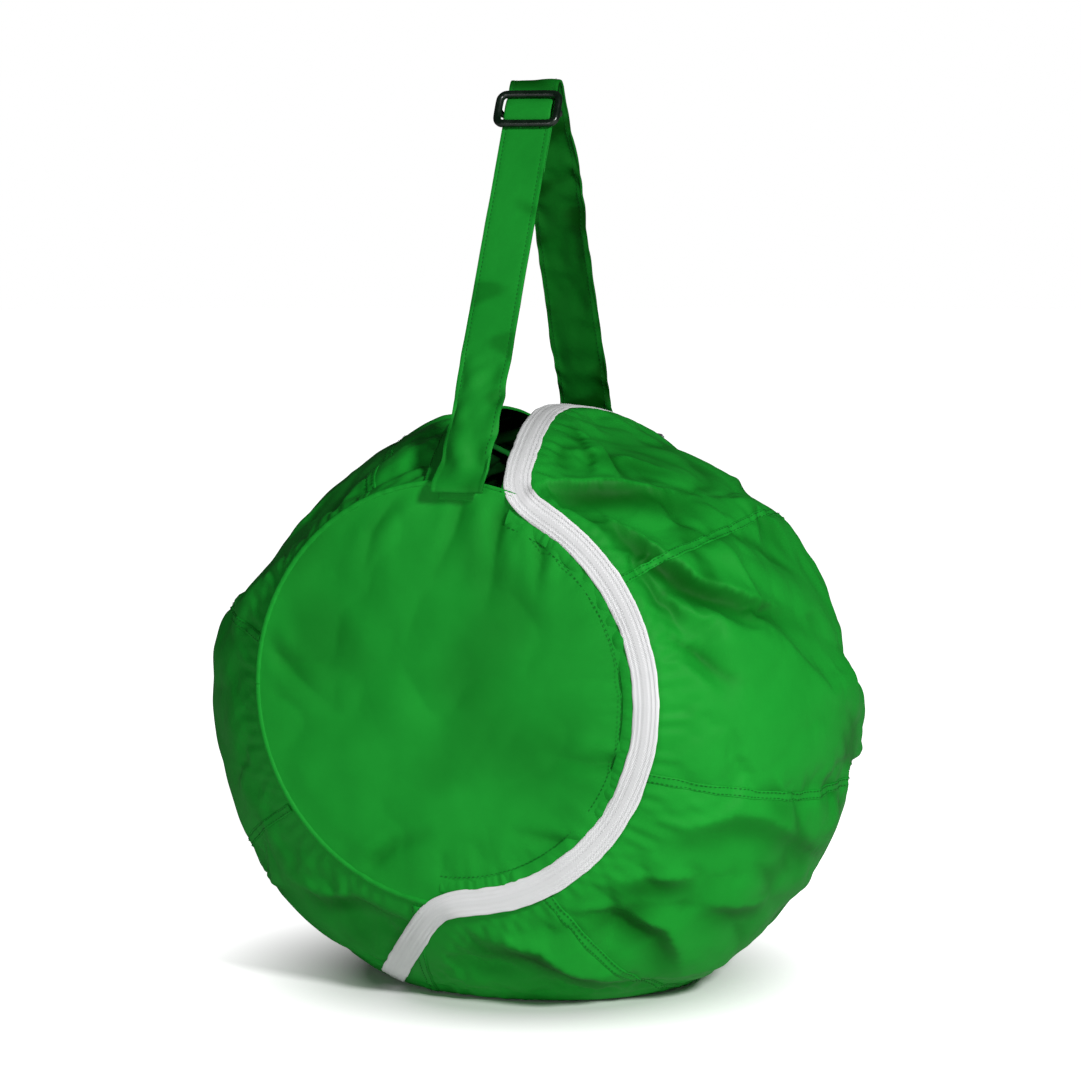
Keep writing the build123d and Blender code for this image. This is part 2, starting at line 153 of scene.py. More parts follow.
def cloth_material(name, dark, light, roughness, pitch=0.0006, crinkle=0.35, sheen=0.0, weave=0.06):
    """Coated woven nylon: fine weave, soft crinkle, faint random tone changes, and painted shade that
    darkens the colour where it folds in.
    """
    material, nodes, links, shader = new_material(name)
    flat = add_node(nodes, "ShaderNodeUVMap", uv_map="cloth")
    coords = add_node(nodes, "ShaderNodeTexCoord").outputs["Object"]
    shade = add_node(nodes, "ShaderNodeTexNoise", Scale=9.0, Detail=5.0, Roughness=0.6)
    links.new(coords, shade.inputs["Vector"])
    tint = colour_spread(nodes, links, shade.outputs["Fac"], dark, light)
    # painted shade: the fold_shade attribute pulls the colour towards the fold tint, standing in for the
    # shadow in folds and creases
    fold = add_node(nodes, "ShaderNodeAttribute", attribute_name="fold_shade")
    painted_fold_shade = add_node(nodes, "ShaderNodeMix", data_type="RGBA", blend_type="MULTIPLY")
    links.new(fold.outputs["Fac"], painted_fold_shade.inputs[0])
    links.new(tint, painted_fold_shade.inputs[6])
    painted_fold_shade.inputs[7].default_value = colour(*FOLD_PAINTED_SHADE_TINT)
    links.new(painted_fold_shade.outputs[2], shader.inputs["Base Color"])
    creases = add_node(nodes, "ShaderNodeTexNoise", Scale=26.0, Detail=3.0, Roughness=0.5, Distortion=0.15)
    links.new(coords, creases.inputs["Vector"])
    soft = add_node(nodes, "ShaderNodeBump", Strength=crinkle, Distance=0.003)
    links.new(creases.outputs["Fac"], soft.inputs["Height"])
    fine = add_node(nodes, "ShaderNodeBump", Strength=weave, Distance=0.0006)
    links.new(weave_height(nodes, links, flat.outputs["UV"], pitch), fine.inputs["Height"])
    links.new(soft.outputs["Normal"], fine.inputs["Normal"])
    links.new(fine.outputs["Normal"], shader.inputs["Normal"])
    rough = add_node(nodes, "ShaderNodeMapRange", From_Min=0.3, From_Max=0.7,
                     To_Min=roughness - 0.06, To_Max=roughness + 0.08)
    links.new(creases.outputs["Fac"], rough.inputs["Value"])
    links.new(rough.outputs["Result"], shader.inputs["Roughness"])
    shader.inputs["Sheen Weight"].default_value = sheen
    shader.inputs["Sheen Roughness"].default_value = 0.4
    shader.inputs["Specular IOR Level"].default_value = 0.08
    return material


def moulded_material(name, base, roughness):
    """Moulded plastic or die-cast metal with a faint orange-peel surface and rubbed patches."""
    material, nodes, links, shader = new_material(name)
    coords = add_node(nodes, "ShaderNodeTexCoord").outputs["Object"]
    rub = add_node(nodes, "ShaderNodeTexNoise", Scale=160.0, Detail=4.0)
    links.new(coords, rub.inputs["Vector"])
    lighter = tuple(min(1.0, value * 1.5 + 0.004) for value in base)
    links.new(colour_spread(nodes, links, rub.outputs["Fac"], base, lighter), shader.inputs["Base Color"])
    rough = add_node(nodes, "ShaderNodeMapRange", From_Min=0.3, From_Max=0.75,
                     To_Min=roughness, To_Max=roughness + 0.16)
    links.new(rub.outputs["Fac"], rough.inputs["Value"])
    links.new(rough.outputs["Result"], shader.inputs["Roughness"])
    peel = add_node(nodes, "ShaderNodeTexNoise", Scale=900.0, Detail=2.0)
    links.new(coords, peel.inputs["Vector"])
    bump = add_node(nodes, "ShaderNodeBump", Strength=0.12, Distance=0.0004)
    links.new(peel.outputs["Fac"], bump.inputs["Height"])
    links.new(bump.outputs["Normal"], shader.inputs["Normal"])
    return material


SHELL = cloth_material("green_coated_nylon", (0.007, 0.250, 0.020), (0.011, 0.320, 0.028), 0.56)
# the inner face, the uncoated side of the cloth, is painted far darker than the outside, as painted shade
# for the bag's unlit inside
INSIDE_PAINTED_DARK = cloth_material("green_uncoated_inside_painted_shade", (0.002, 0.050, 0.006), (0.003, 0.070, 0.009), 0.85)
STRAP = cloth_material("green_strap_nylon", (0.006, 0.205, 0.017), (0.010, 0.262, 0.024), 0.55, crinkle=0.5)
BINDING = cloth_material("green_binding_tape", (0.004, 0.12, 0.014), (0.008, 0.16, 0.02), 0.75, crinkle=0.2)
ZIP_WHITE = cloth_material("white_zip_tape", (0.70, 0.70, 0.71), (0.80, 0.80, 0.81), 0.80,
                           pitch=0.0009, crinkle=0.25, sheen=0.05, weave=0.25)
THREAD = cloth_material("green_thread", (0.003, 0.09, 0.010), (0.006, 0.14, 0.016), 0.6)
FOAM = cloth_material("foam_board", (0.55, 0.55, 0.52), (0.66, 0.66, 0.62), 0.85)
SLIDER = moulded_material("black_green_moulding", (0.0006, 0.006, 0.002), 0.20)
ZIP_COIL = cloth_material("white_nylon_coil", (0.68, 0.68, 0.69), (0.76, 0.76, 0.77), 0.65,
                          crinkle=0.1, weave=0.0)
ZINC = moulded_material("satin_zinc", (0.55, 0.56, 0.58), 0.28)
ZINC.node_tree.nodes["Principled BSDF"].inputs["Metallic"].default_value = 1.0


# ---------------------------------------------------------------- the drum's surface
def arc_drop(drop, y):
    """Height lost at y by a circular arc that loses drop at the rims."""
    radius = (HALF_DEPTH ** 2 + drop ** 2) / (2 * drop)
    return radius - np.sqrt(radius ** 2 - np.clip(y, -HALF_DEPTH, HALF_DEPTH) ** 2)


def section(y):
    """Half width, middle height and half height of the drum at depth y."""
    half_width = HALF_WIDTH - arc_drop(HALF_WIDTH - RIM, y)
    top = CROWN - arc_drop(CROWN - DISC_Z - RIM, y)
    low = BELLY + arc_drop(DISC_Z - RIM - BELLY, y)
    return half_width, (top + low) / 2, (top - low) / 2


def wall_point(angle, y):
    """Points of the wall at angles about the hub, in degrees, and depths; flat at the ground."""
    half_width, middle, half_height = section(y)
    along, rise = np.cos(np.radians(angle)), np.sin(np.radians(angle))
    lift = HUB_Z - middle
    square = (along / half_width) ** 2 + (rise / half_height) ** 2
    linear = lift * rise / half_height ** 2
    constant = (lift / half_height) ** 2 - 1
    reach = (-linear + np.sqrt(linear ** 2 - square * constant)) / square
    ground = HUB_Z / np.maximum(-rise, 1e-4)
    reach = np.where(rise < 0, np.minimum(reach, ground), reach)
    return np.stack([reach * along, y + 0 * reach, HUB_Z + reach * rise], axis=-1)


def zip_x(y):
    """Plan position of the zip's middle line over the crown, a rounded V."""
    softness = 0.040
    share = (np.sqrt(y ** 2 + softness ** 2) - softness) / (hypot(HALF_DEPTH, softness) - softness)
    return ZIP_MID_X + (ZIP_RIM_X - ZIP_MID_X) * share


def mouth_left_x(y):
    """Plan position of the mouth's left edge, which runs in towards the front rim."""
    share = np.clip((MOUTH_TURN - y) / (MOUTH_TURN + HALF_DEPTH), 0, 1)
    return MOUTH_LEFT + (MOUTH_FRONT_LEFT - MOUTH_LEFT) * share


def angle_at(x, y):
    """Angle about the hub of the crown's point at plan position x."""
    half_width, middle, half_height = section(y)
    height = middle + half_height * np.sqrt(1 - (x / half_width) ** 2)
    return np.degrees(np.arctan2(height - HUB_Z, x))


def rim_spaced_rows():
    """Depths of the cloth rows, closer together towards the rims, one of them at the mouth's rear."""
    turn_radius = 0.230
    limit = asin(HALF_DEPTH / turn_radius)
    depths = turn_radius * np.sin(np.linspace(-limit, limit, ROWS + 1))
    depths[np.argmin(abs(depths - MOUTH_REAR))] = MOUTH_REAR
    depths[0], depths[-1] = -HALF_DEPTH, HALF_DEPTH
    return depths


def wall_columns(depths):
    """Angle of every column at every row, and the columns that carry a seam or an edge."""
    flat = 0 * depths
    lines = [
        ("seam_38", flat + 38),
        ("zip_outer", angle_at(zip_x(depths) + ZIP_HALF, depths)),
        ("zip_inner", angle_at(zip_x(depths) - ZIP_HALF, depths)),
        ("seam_88", flat + 88),
        ("mouth_left", np.maximum(angle_at(mouth_left_x(depths), depths), 88.5)),
    ]
    lines += [(f"seam_{angle}", flat + angle) for angle in SEAMS[1:] + (SEAMS[0] + 360,)]
    blocks, marks, count = [], {lines[0][0]: 0}, 0
    for (_, start), (name, end) in zip(lines[:-1], lines[1:]):
        steps = 2 * max(1, round((end - start).mean() / COLUMN_PITCH / 2))
        shares = np.arange(steps) / steps
        blocks.append(start[:, None] + (end - start)[:, None] * shares)
        count += steps
        marks[name + "_end" if name == "seam_398" else name] = count
    blocks.append(lines[-1][1][:, None])
    return np.concatenate(blocks, axis=1), marks


def surface_normals(points):
    """Outward unit normals of a closed ring of rows and columns."""
    ring = np.concatenate([points[:, -2:-1], points, points[:, 1:2]], axis=1)
    across = ring[:, 2:] - ring[:, :-2]
    along = np.gradient(points, axis=0)
    normals = np.cross(along, across)
    outward = points - np.array([0, 0, HUB_Z])
    normals *= np.sign((normals * outward).sum(-1, keepdims=True))
    return normals / np.maximum(np.linalg.norm(normals, axis=-1, keepdims=True), 1e-9)


def smooth_step(low, high, value):
    share = np.clip((value - low) / (high - low), 0, 1)
    return share * share * (3 - 2 * share)


def line_noise(travel, scale, seed, level):
    """Smooth noise along a line's running length."""
    return np.array([noise.noise(Vector((step / scale, seed, level))) for step in travel])


def cloth_noise(points, scale, seed, ridged=False, stretch=1.0):
    """Smooth noise over an array of points; ridged noise has sharp valleys, like creased nylon."""
    shift = Vector((seed * 7.3, seed * 3.1, seed * 5.7))
    flat = (points * np.array([1.0, 1.0 / stretch, 1.0])).reshape(-1, 3) / scale
    values = np.array([noise.noise(Vector(point) + shift) for point in flat])
    if ridged:
        values = np.abs(values) * 2 - 0.55
    return values.reshape(points.shape[:-1])


# Creases of the shell: width and depth in millimetres, and a line of (angle, depth share) points.
CREASES = [
    (9, 8.5, [(72, -0.93), (66, -0.80), (61, -0.69), (52, -0.48), (47, -0.2)]),
    (6, 5.0, [(77, -0.28), (66, -0.47), (58, -0.60)]),
    (5, 4.0, [(66, -0.47), (61, -0.33), (55, -0.18)]),
    (8, 9.0, [(60, -0.80), (51, -0.84), (39, -0.78), (31, -0.70), (24, -0.52), (18, -0.10)]),
    (5, 3.5, [(41, -0.86), (31, -0.86), (23, -0.82)]),
    (5, 3.0, [(62, -0.93), (50, -0.94), (42, -0.95)]),
    (9, 2.5, [(43, -0.10), (38, 0.05), (30, 0.20)]),
    (8, 3.2, [(-24, -0.95), (-23, -0.85), (-18, -0.72), (-18, -0.62), (-21, -0.38), (-24, -0.15)]),
    (7, 4.5, [(-46, -0.95), (-37, -0.87), (-32, -0.74)]),
    (8, 5.5, [(-58, -0.95), (-48, -0.86), (-46, -0.70), (-54, -0.42)]),
    (9, 7.0, [(-88, -0.96), (-70, -0.87), (-60, -0.55)]),
    (6, 4.0, [(-80, -0.98), (-69, -0.79), (-64, -0.70)]),
    (6, 2.0, [(-9, -0.60), (-14, -0.52), (-17, -0.42)]),
    (6, 3.0, [(-17, -0.66), (-23, -0.30), (-26, -0.10)]),
    (8, 3.5, [(-38, -0.68), (-34, -0.32)]),
    (7, 5.0, [(-135, -0.82), (-119, -0.95), (-104, -0.96)]),
    (6, 3.0, [(150, -0.80), (140, -0.55), (128, -0.45)]),
    (8, 2.5, [(196, -0.75), (186, -0.40), (181, 0.10)]),
    (7, 3.0, [(225, -0.80), (216, -0.45), (219, -0.05)]),
    (8, 5.0, [(128, 0.82), (140, 0.60), (148, 0.15)]),
    (9, 6.0, [(170, 0.88), (178, 0.55), (192, 0.30)]),
    (7, 4.5, [(204, 0.85), (214, 0.60), (216, 0.20)]),
    (8, 5.5, [(60, 0.80), (50, 0.55), (47, 0.20)]),
    (8, 6.0, [(30, 0.86), (20, 0.60), (6, 0.45)]),
    (7, 5.0, [(-4, 0.85), (-12, 0.60), (-10, 0.20)]),
    (8, 5.5, [(-32, 0.88), (-40, 0.60), (-36, 0.30)]),
]


def crease_relief(points, normals):
    """Height and painted shade of every cloth point: a crease is a crest with a steep lower flank, painted
    darker as shade.
    """
    relief, shade = np.zeros(points.shape[:-1]), np.zeros(points.shape[:-1])
    upward = np.array([0, 0, 1.0]) - normals * normals[..., 2:3]
    for width, depth, line in CREASES:
        knots = np.array(line, float)
        share = np.linspace(0, len(knots) - 1, 40)
        angles = np.interp(share, range(len(knots)), knots[:, 0])
        depths = np.interp(share, range(len(knots)), knots[:, 1]) * HALF_DEPTH
        path = wall_point(angles, depths)
        near = np.full(points.shape[:-1], np.inf)
        side, taper = np.zeros_like(near), np.zeros_like(near)
        for index in range(len(path) - 1):
            start, run = path[index], path[index + 1] - path[index]
            away = points - start
            place = np.clip((away @ run) / (run @ run), 0, 1)
            offset = away - place[..., None] * run
            distance = np.linalg.norm(offset, axis=-1)
            closer = distance < near
            near = np.where(closer, distance, near)
            side = np.where(closer, (offset * upward).sum(-1), side)
            taper = np.where(closer, (index + place) / (len(path) - 1), taper)
        fade = np.clip(np.sin(pi * np.clip(taper, 0.03, 0.97)), 0, 1) ** 0.7
        wide, tall = width * MM, depth * MM
        above = 1.15 * tall * np.exp(-near / (3.6 * wide))
        below = tall * (2.5 * np.exp(-near / (1.3 * wide)) - 1.35 * np.exp(-near / (3.0 * wide)))
        relief += np.where(side > 0, above, below) * fade
        # painted shade: a dark band below each crease and a faint one above it, where the crease's shadow
        # falls
        under = np.exp(-((near - 1.2 * wide) / (1.7 * wide)) ** 2) * min(1.0, tall / (6 * MM))
        shade = np.maximum(shade, np.where(side > 0, under * 0.25 * np.exp(-near / (2 * MM)), under) * fade)
    return relief, shade


def mapped_grid(points, inside=None, skip=None, shade=None):
    """A flat grid pulled onto points[row, column], with its flat sizes as the cloth's own map."""
    rows, columns = points.shape[0] - 1, points.shape[1] - 1
    run = np.linalg.norm(np.diff(points, axis=1), axis=-1).mean(axis=0)
    rise = np.linalg.norm(np.diff(points, axis=0), axis=-1).mean(axis=1)
    flat_u = np.concatenate([[0], np.cumsum(run)])
    flat_v = np.concatenate([[0], np.cumsum(rise)])
    mesh = bmesh.new()
    bmesh.ops.create_grid(mesh, x_segments=columns, y_segments=rows, size=0.5)
    row_tag = mesh.verts.layers.int.new("row")
    column_tag = mesh.verts.layers.int.new("column")
    cloth_map = mesh.loops.layers.uv.new("cloth")
    for vertex in mesh.verts:
        vertex[column_tag] = round((vertex.co.x + 0.5) * columns)
        vertex[row_tag] = round((vertex.co.y + 0.5) * rows)
        vertex.co = points[vertex[row_tag], vertex[column_tag]]
    # painted shade of folds and creases, kept per point as the fold_shade attribute
    if shade is not None:
        fold_shade = mesh.verts.layers.float.new("fold_shade")
        for vertex in mesh.verts:
            vertex[fold_shade] = float(shade[vertex[row_tag], vertex[column_tag]])
    for face in mesh.faces:
        for loop in face.loops:
            loop[cloth_map].uv = (flat_u[loop.vert[column_tag]], flat_v[loop.vert[row_tag]])
    if skip is not None:
        lost = [face for face in mesh.faces
                if skip[min(v[row_tag] for v in face.verts), min(v[column_tag] for v in face.verts)]]
        bmesh.ops.delete(mesh, geom=lost, context="FACES")
    if inside is not None:
        mesh.normal_update()
        facing = sum(face.normal.dot(face.calc_center_median() - Vector(inside)) for face in mesh.faces)
        if facing < 0:
            bmesh.ops.reverse_faces(mesh, faces=mesh.faces)
    return mesh


def finish_piece(name, mesh, material, body="bag", replaces=(), slot=None, smooth=True):
    data = bpy.data.meshes.new(name)
    mesh.to_mesh(data)
    mesh.free()
    for polygon in data.polygons:
        polygon.use_smooth = smooth
    piece = bpy.data.objects.new(name, data)
    bpy.context.scene.collection.objects.link(piece)
    data.materials.append(material)
    if replaces:
        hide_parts(*replaces)
    if body:
        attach(piece, body)
    return piece


def thicken(piece, thickness, offset=-1.0, rounds=1):
    if rounds:
        rounder = piece.modifiers.new("rounding", "SUBSURF")
        rounder.levels = rounder.render_levels = rounds
    solid = piece.modifiers.new("ply", "SOLIDIFY")
    solid.thickness = thickness
    solid.offset = offset
    return piece


def drape(start, skip, hold):
    """Lets the sewn shell settle as cloth that is a little too large for its frame."""
    mesh = mapped_grid(start, inside=(0, 0, HUB_Z), skip=skip)
    bmesh.ops.remove_doubles(mesh, verts=mesh.verts, dist=1e-5)
    row_tag, column_tag = mesh.verts.layers.int["row"], mesh.verts.layers.int["column"]
    tags = [(vertex[row_tag], vertex[column_tag]) for vertex in mesh.verts]
    data = bpy.data.meshes.new("shell_drape")
    mesh.to_mesh(data)
    mesh.free()
    shell = bpy.data.objects.new("shell_drape", data)
    bpy.context.scene.collection.objects.link(shell)
    group = shell.vertex_groups.new(name="held")
    for index, (row, column) in enumerate(tags):
        group.add([index], float(hold[row, column]), "REPLACE")
    cloth = shell.modifiers.new("drape", "CLOTH")
    settings = cloth.settings
    settings.quality = 5
    settings.mass = 0.12
    settings.tension_stiffness = settings.compression_stiffness = 18
    settings.shear_stiffness = 6
    settings.bending_stiffness = 0.6
    settings.shrink_min = -0.045
    settings.vertex_group_mass = "held"
    settings.pin_stiffness = 1.0
    settings.use_pressure = True
    settings.uniform_pressure_force = 0.5
    settings.effector_weights.gravity = 0.15
    cloth.collision_settings.use_collision = False
    cloth.collision_settings.use_self_collision = False
    cloth.point_cache.frame_end = DRAPE_FRAMES
    scene = bpy.context.scene
    for number in range(1, DRAPE_FRAMES + 1):
        scene.frame_set(number)
    ready = shell.evaluated_get(bpy.context.evaluated_depsgraph_get())
    settled = np.full(start.shape, np.nan)
    for (row, column), vertex in zip(tags, ready.data.vertices):
        settled[row, column] = vertex.co
    seam = np.where(np.isnan(settled[:, 0]), settled[:, -1], settled[:, 0])
    settled[:, 0] = settled[:, -1] = seam
    settled = np.where(np.isnan(settled), start, settled)
    scene.frame_set(1)
    bpy.data.objects.remove(shell)
    return settled - start


def temper(shift, normals, inward=DRAPE_INWARD, outward=DRAPE_OUTWARD, sideways=DRAPE_SIDEWAYS):
    """Caps how far the settled cloth may leave its pattern: less outwards than inwards."""
    rise = (shift * normals).sum(-1, keepdims=True)
    slide = shift - rise * normals
    size = np.linalg.norm(slide, axis=-1, keepdims=True)
    slide = slide * np.minimum(1, sideways / np.maximum(size, 1e-9))
    rise = np.where(rise > 0, outward * np.tanh(rise / outward), -inward * np.tanh(-rise / inward))
    return slide + rise * normals


def refine(coarse):
    """Values on every second row and column, spread over the full grid."""
    rows, columns = coarse.shape[0] * 2 - 1, coarse.shape[1] * 2 - 1
    fine = np.zeros((rows, columns) + coarse.shape[2:])
    fine[::2, ::2] = coarse
    fine[1::2, ::2] = (coarse[1:] + coarse[:-1]) / 2
    fine[:, 1::2] = (fine[:, :-1:2] + fine[:, 2::2]) / 2
    return fine


def make_wall_points():
    """The finished cloth of the wall as rows and columns of points, and what its pieces are cut by."""
    depths = rim_spaced_rows()
    angles, marks = wall_columns(depths)
    base = wall_point(angles, depths[:, None])
    normals = surface_normals(base)
    mouth = np.zeros((base.shape[0] - 1, base.shape[1] - 1), bool)
    open_rows = depths[:-1] < MOUTH_REAR - 1e-6
    mouth[open_rows, marks["zip_inner"]:marks["mouth_left"]] = True

    # distance from the edges that are held: rims, zip, mouth and ground
    from_rim = HALF_DEPTH - np.abs(depths)[:, None] + 0 * angles
    calm = smooth_step(0.0, CALM_REACH, from_rim)
    column = np.arange(angles.shape[1])
    held_low, held_high = marks["zip_outer"], marks["mouth_left"]
    columns_away = np.maximum(held_low - column, column - held_high).clip(0)
    calm = calm * smooth_step(0, 6, columns_away)[None, :]
    behind_mouth = smooth_step(0.004, CALM_REACH, depths - MOUTH_REAR)[:, None]
    rear_calm = behind_mouth * smooth_step(0.0, CALM_REACH, from_rim)
    in_band = (columns_away == 0)[None, :]
    calm = np.where(in_band, rear_calm * 0.8, calm)
    off_ground = smooth_step(0.001, CALM_REACH, base[..., 2])
    calm = calm * off_ground
    foot_turn = np.linspace(ZIP_LOW_ANGLE - 0.2, degrees(atan2(ZIP_LOW_END.z - HUB_Z, ZIP_LOW_END.x)), 24)
    foot = wall_point(foot_turn, np.linspace(FRONT, ZIP_LOW_END.y, 24))
    from_foot = np.min([np.linalg.norm(base - spot, axis=-1) for spot in foot], axis=0)
    calm = calm * smooth_step(0.010, CALM_REACH, from_foot)

    relief, shade = crease_relief(base, normals)
    shade *= np.maximum(calm, 0) ** 0.5
    relief = relief * np.maximum(calm, 0) + cloth_noise(base, SWELL_SIZE, 1) * SWELL_HEIGHT * calm
    start = base + normals * relief[..., None]
    hold = 1.0 - 0.96 * smooth_step(0.0, 0.5, calm)
    for name, at in marks.items():
        if name.startswith("seam") and name != "seam_88":
            hold[:, at] = np.maximum(hold[:, at], 0.25)
    shift = drape(start[::2, ::2], mouth[::2, ::2], hold[::2, ::2])
    start = start + refine(temper(shift, normals[::2, ::2]))
    lean = np.stack([0 * base[..., 0], 0.35 * base[..., 2], 0.25 * base[..., 1]], axis=-1)
    slant = base + lean                       # the crumples run a little downhill from rim to rim
    crumple = cloth_noise(slant, CRUMPLE_SIZE, 2, ridged=True, stretch=1.9) * CRUMPLE_HEIGHT
    crumple += cloth_noise(slant, FINE_SIZE, 3, ridged=True, stretch=1.5) * FINE_HEIGHT
    crumple *= 0.4 + 0.6 * smooth_step(-0.25, 0.3, cloth_noise(base, 0.12, 5))
    crumple *= 0.55 + 0.45 * smooth_step(-0.10, 0.10, base[..., 0])
    start += normals * (crumple * calm)[..., None]
    # painted shade in the valleys of the crumples
    shade = np.maximum(shade, 0.55 * smooth_step(0.0006, 0.0034, -crumple * calm))
    start += normals * seam_puckers(base, marks, calm)[..., None]
    start[..., 2] = np.maximum(start[..., 2], np.where(base[..., 2] < 1e-4, 0.0006, 0.0004))
    return start, surface_normals(start), marks, mouth, depths, shade


def seam_puckers(base, marks, calm):
    """The cloth is drawn in along each seam, with small puckers that fade away from the thread."""
    relief = np.zeros(base.shape[:-1])
    for name, at in marks.items():
        if not name.startswith("seam") or name == "seam_88":
            continue
        line = base[:, at]
        travel = np.concatenate([[0], np.cumsum(np.linalg.norm(np.diff(line, axis=0), axis=-1))])
        wave = line_noise(travel, 8 * MM, at * 3.7, 0)
        apart = np.linalg.norm(base - line[:, None], axis=-1)
        relief += PUCKER_WAVE * wave[:, None] * np.exp(-apart / 0.010)
        relief -= PUCKER_DEPTH * np.exp(-apart / 0.005)
    return relief * np.clip(calm * 2, 0, 1)


WALL, WALL_NORMALS, MARKS, MOUTH_FACES, DEPTHS, FOLD_SHADE = make_wall_points()
INSIDE = (0, 0, HUB_Z)


def wall_at(rows, columns, height=0.0):
    """Points of the finished cloth at fractional rows and columns, raised along its normals."""
    rows, columns = np.asarray(rows, float), np.asarray(columns, float)
    count = WALL.shape[1] - 1
    columns = np.mod(columns, count)
    r0 = np.clip(rows.astype(int), 0, WALL.shape[0] - 2)
    c0 = np.clip(columns.astype(int), 0, count - 1)
    fr, fc = (rows - r0)[..., None], (columns - c0)[..., None]
    result = []
    for field in (WALL, WALL_NORMALS):
        low = field[r0, c0] * (1 - fc) + field[r0, c0 + 1] * fc
        high = field[r0 + 1, c0] * (1 - fc) + field[r0 + 1, c0 + 1] * fc
        result.append(low * (1 - fr) + high * fr)
    point, normal = result
    point = point + normal * np.asarray(height)[..., None] if np.ndim(height) else point + normal * height
    point[..., 2] = np.maximum(point[..., 2], 0.0006)
    return point


def make_gores():
    spans = [("seam_38", "seam_88"), ("seam_88", "seam_115"), ("seam_115", "seam_163"),
             ("seam_163", "seam_211"), ("seam_211", "seam_259"), ("seam_259", "seam_300"),
             ("seam_300", "seam_346"), ("seam_346", "seam_398_end")]
    for node, (first, last) in zip(GORES, spans):
        low, high = MARKS[first], MARKS[last]
        mesh = mapped_grid(WALL[:, low:high + 1], INSIDE, MOUTH_FACES[:, low:high],
                           FOLD_SHADE[:, low:high + 1])
        piece = finish_piece(node + "_cloth", mesh, SHELL, replaces=(node,), slot="shell_fabric")
        piece.data.materials.append(INSIDE_PAINTED_DARK)
        thicken(piece, FABRIC)
        piece.modifiers["ply"].material_offset = 1


# ---------------------------------------------------------------- thread and ribbons
def stitch_row(mesh, points, normals, length=2.6 * MM, pitch=3.6 * MM, radius=0.30 * MM):
    """Short raised stitches along a line of points."""
    steps = np.linalg.norm(np.diff(points, axis=0), axis=-1)
    travel = np.concatenate([[0], np.cumsum(steps)])
    count = int(travel[-1] / pitch)
    for index in range(count):
        at = (index + 0.5) * pitch
        middle = Vector([np.interp(at, travel, points[:, axis]) for axis in range(3)])
        ahead = Vector([np.interp(at + length / 2, travel, points[:, axis]) for axis in range(3)])
        normal = Vector([np.interp(at, travel, normals[:, axis]) for axis in range(3)]).normalized()
        along = (ahead - middle).normalized()
        across = normal.cross(along).normalized()
        turn = Matrix((along * length / 2, across * radius, normal * radius)).transposed().to_4x4()
        bmesh.ops.create_icosphere(mesh, subdivisions=1, radius=1.0,
                                   matrix=Matrix.Translation(middle + normal * radius * 0.4) @ turn)


def thread_piece(name, rows, slot="shell_fabric", body="bag"):
    mesh = bmesh.new()
    for points, normals in rows:
        stitch_row(mesh, points, normals)
    return finish_piece(name, mesh, THREAD, body=body, slot=slot, smooth=False)


def seam_columns(at, offset):
    """Fractional column that lies offset metres beside a seam, for every row."""
    width = np.linalg.norm(WALL[:, at + 1] - WALL[:, at], axis=-1) if at + 1 < WALL.shape[1] else \
        np.linalg.norm(WALL[:, 1] - WALL[:, 0], axis=-1)
    return at + offset / np.maximum(width, 1e-4)


def make_gore_seams():
    """Felled lip over each gore seam with two rows of topstitching, and the bound edge inside."""
    keep = np.arange(1, ROWS)
    lip_offsets = (-3.7, -3.3, 0, 3.3, 3.7)
    lip_height = np.array([0.1, 0.75, 0.85, 0.75, 0.1]) * MM
    thread_offset = 2.4
    bound = []
    for name, at in MARKS.items():
        if not name.startswith("seam") or name == "seam_398_end":
            continue
        use = keep[DEPTHS[keep] > MOUTH_REAR + HEM] if name == "seam_88" else keep
        span = [seam_columns(at, offset * MM)[use] for offset in lip_offsets]
        columns = np.stack(span, axis=1)
        grid_rows = np.repeat(use[:, None].astype(float), 5, axis=1)
        points = wall_at(grid_rows, columns, np.broadcast_to(lip_height, columns.shape))
        mesh = mapped_grid(points, INSIDE)
        lip = finish_piece(f"felled_{name}", mesh, SHELL, slot="shell_fabric")
        thicken(lip, 0.3 * MM)
        lines = []
        for offset in (-thread_offset, thread_offset):
            column = seam_columns(at, offset * MM)[use]
            line = wall_at(use.astype(float), column, 0.9 * MM)
            lines.append((line, wall_at(use.astype(float), column, 1.9 * MM) - line))
        thread_piece(f"topstitch_{name}", lines)
        inner = [wall_at(use.astype(float), seam_columns(at, offset * MM)[use], height * MM)
                 for offset, height in ((-2.6, -1.0), (-1.2, -4.2), (1.2, -4.2), (2.6, -1.0))]
        bound.append(np.stack(inner, axis=1))
    mesh = bmesh.new()
    mesh.loops.layers.uv.new("cloth")
    for strip in bound:
        part = mapped_grid(strip)
        data = bpy.data.meshes.new("binding_part")
        part.to_mesh(data)
        part.free()
        mesh.from_mesh(data)
        bpy.data.meshes.remove(data)
    binding = finish_piece("gore_seam_bindings_cloth", mesh, BINDING, replaces=("gore_seam_bindings",),
                           slot="seam_binding")
    thicken(binding, 0.5 * MM, offset=0, rounds=0)


# ---------------------------------------------------------------- discs
DISC_CREASES = [
    (7, 3.2, [(42, 147), (36, 112), (30, 72)]),
    (5, 2.2, [(71, 117), (70, 98), (68, 78)]),
    (6, 2.6, [(150, -38), (116, -42), (80, -40)]),
    (5, 2.4, [(96, -104), (76, -100), (52, -96)]),
    (6, 1.8, [(12, 150), (4, 118), (-12, 88)]),
    (7, 2.0, [(-146, 30), (-120, 6), (-96, -12)]),
    (6, 2.2, [(-70, -134), (-44, -112), (-20, -104)]),
    (6, 1.8, [(-40, 146), (-60, 118), (-66, 92)]),
]


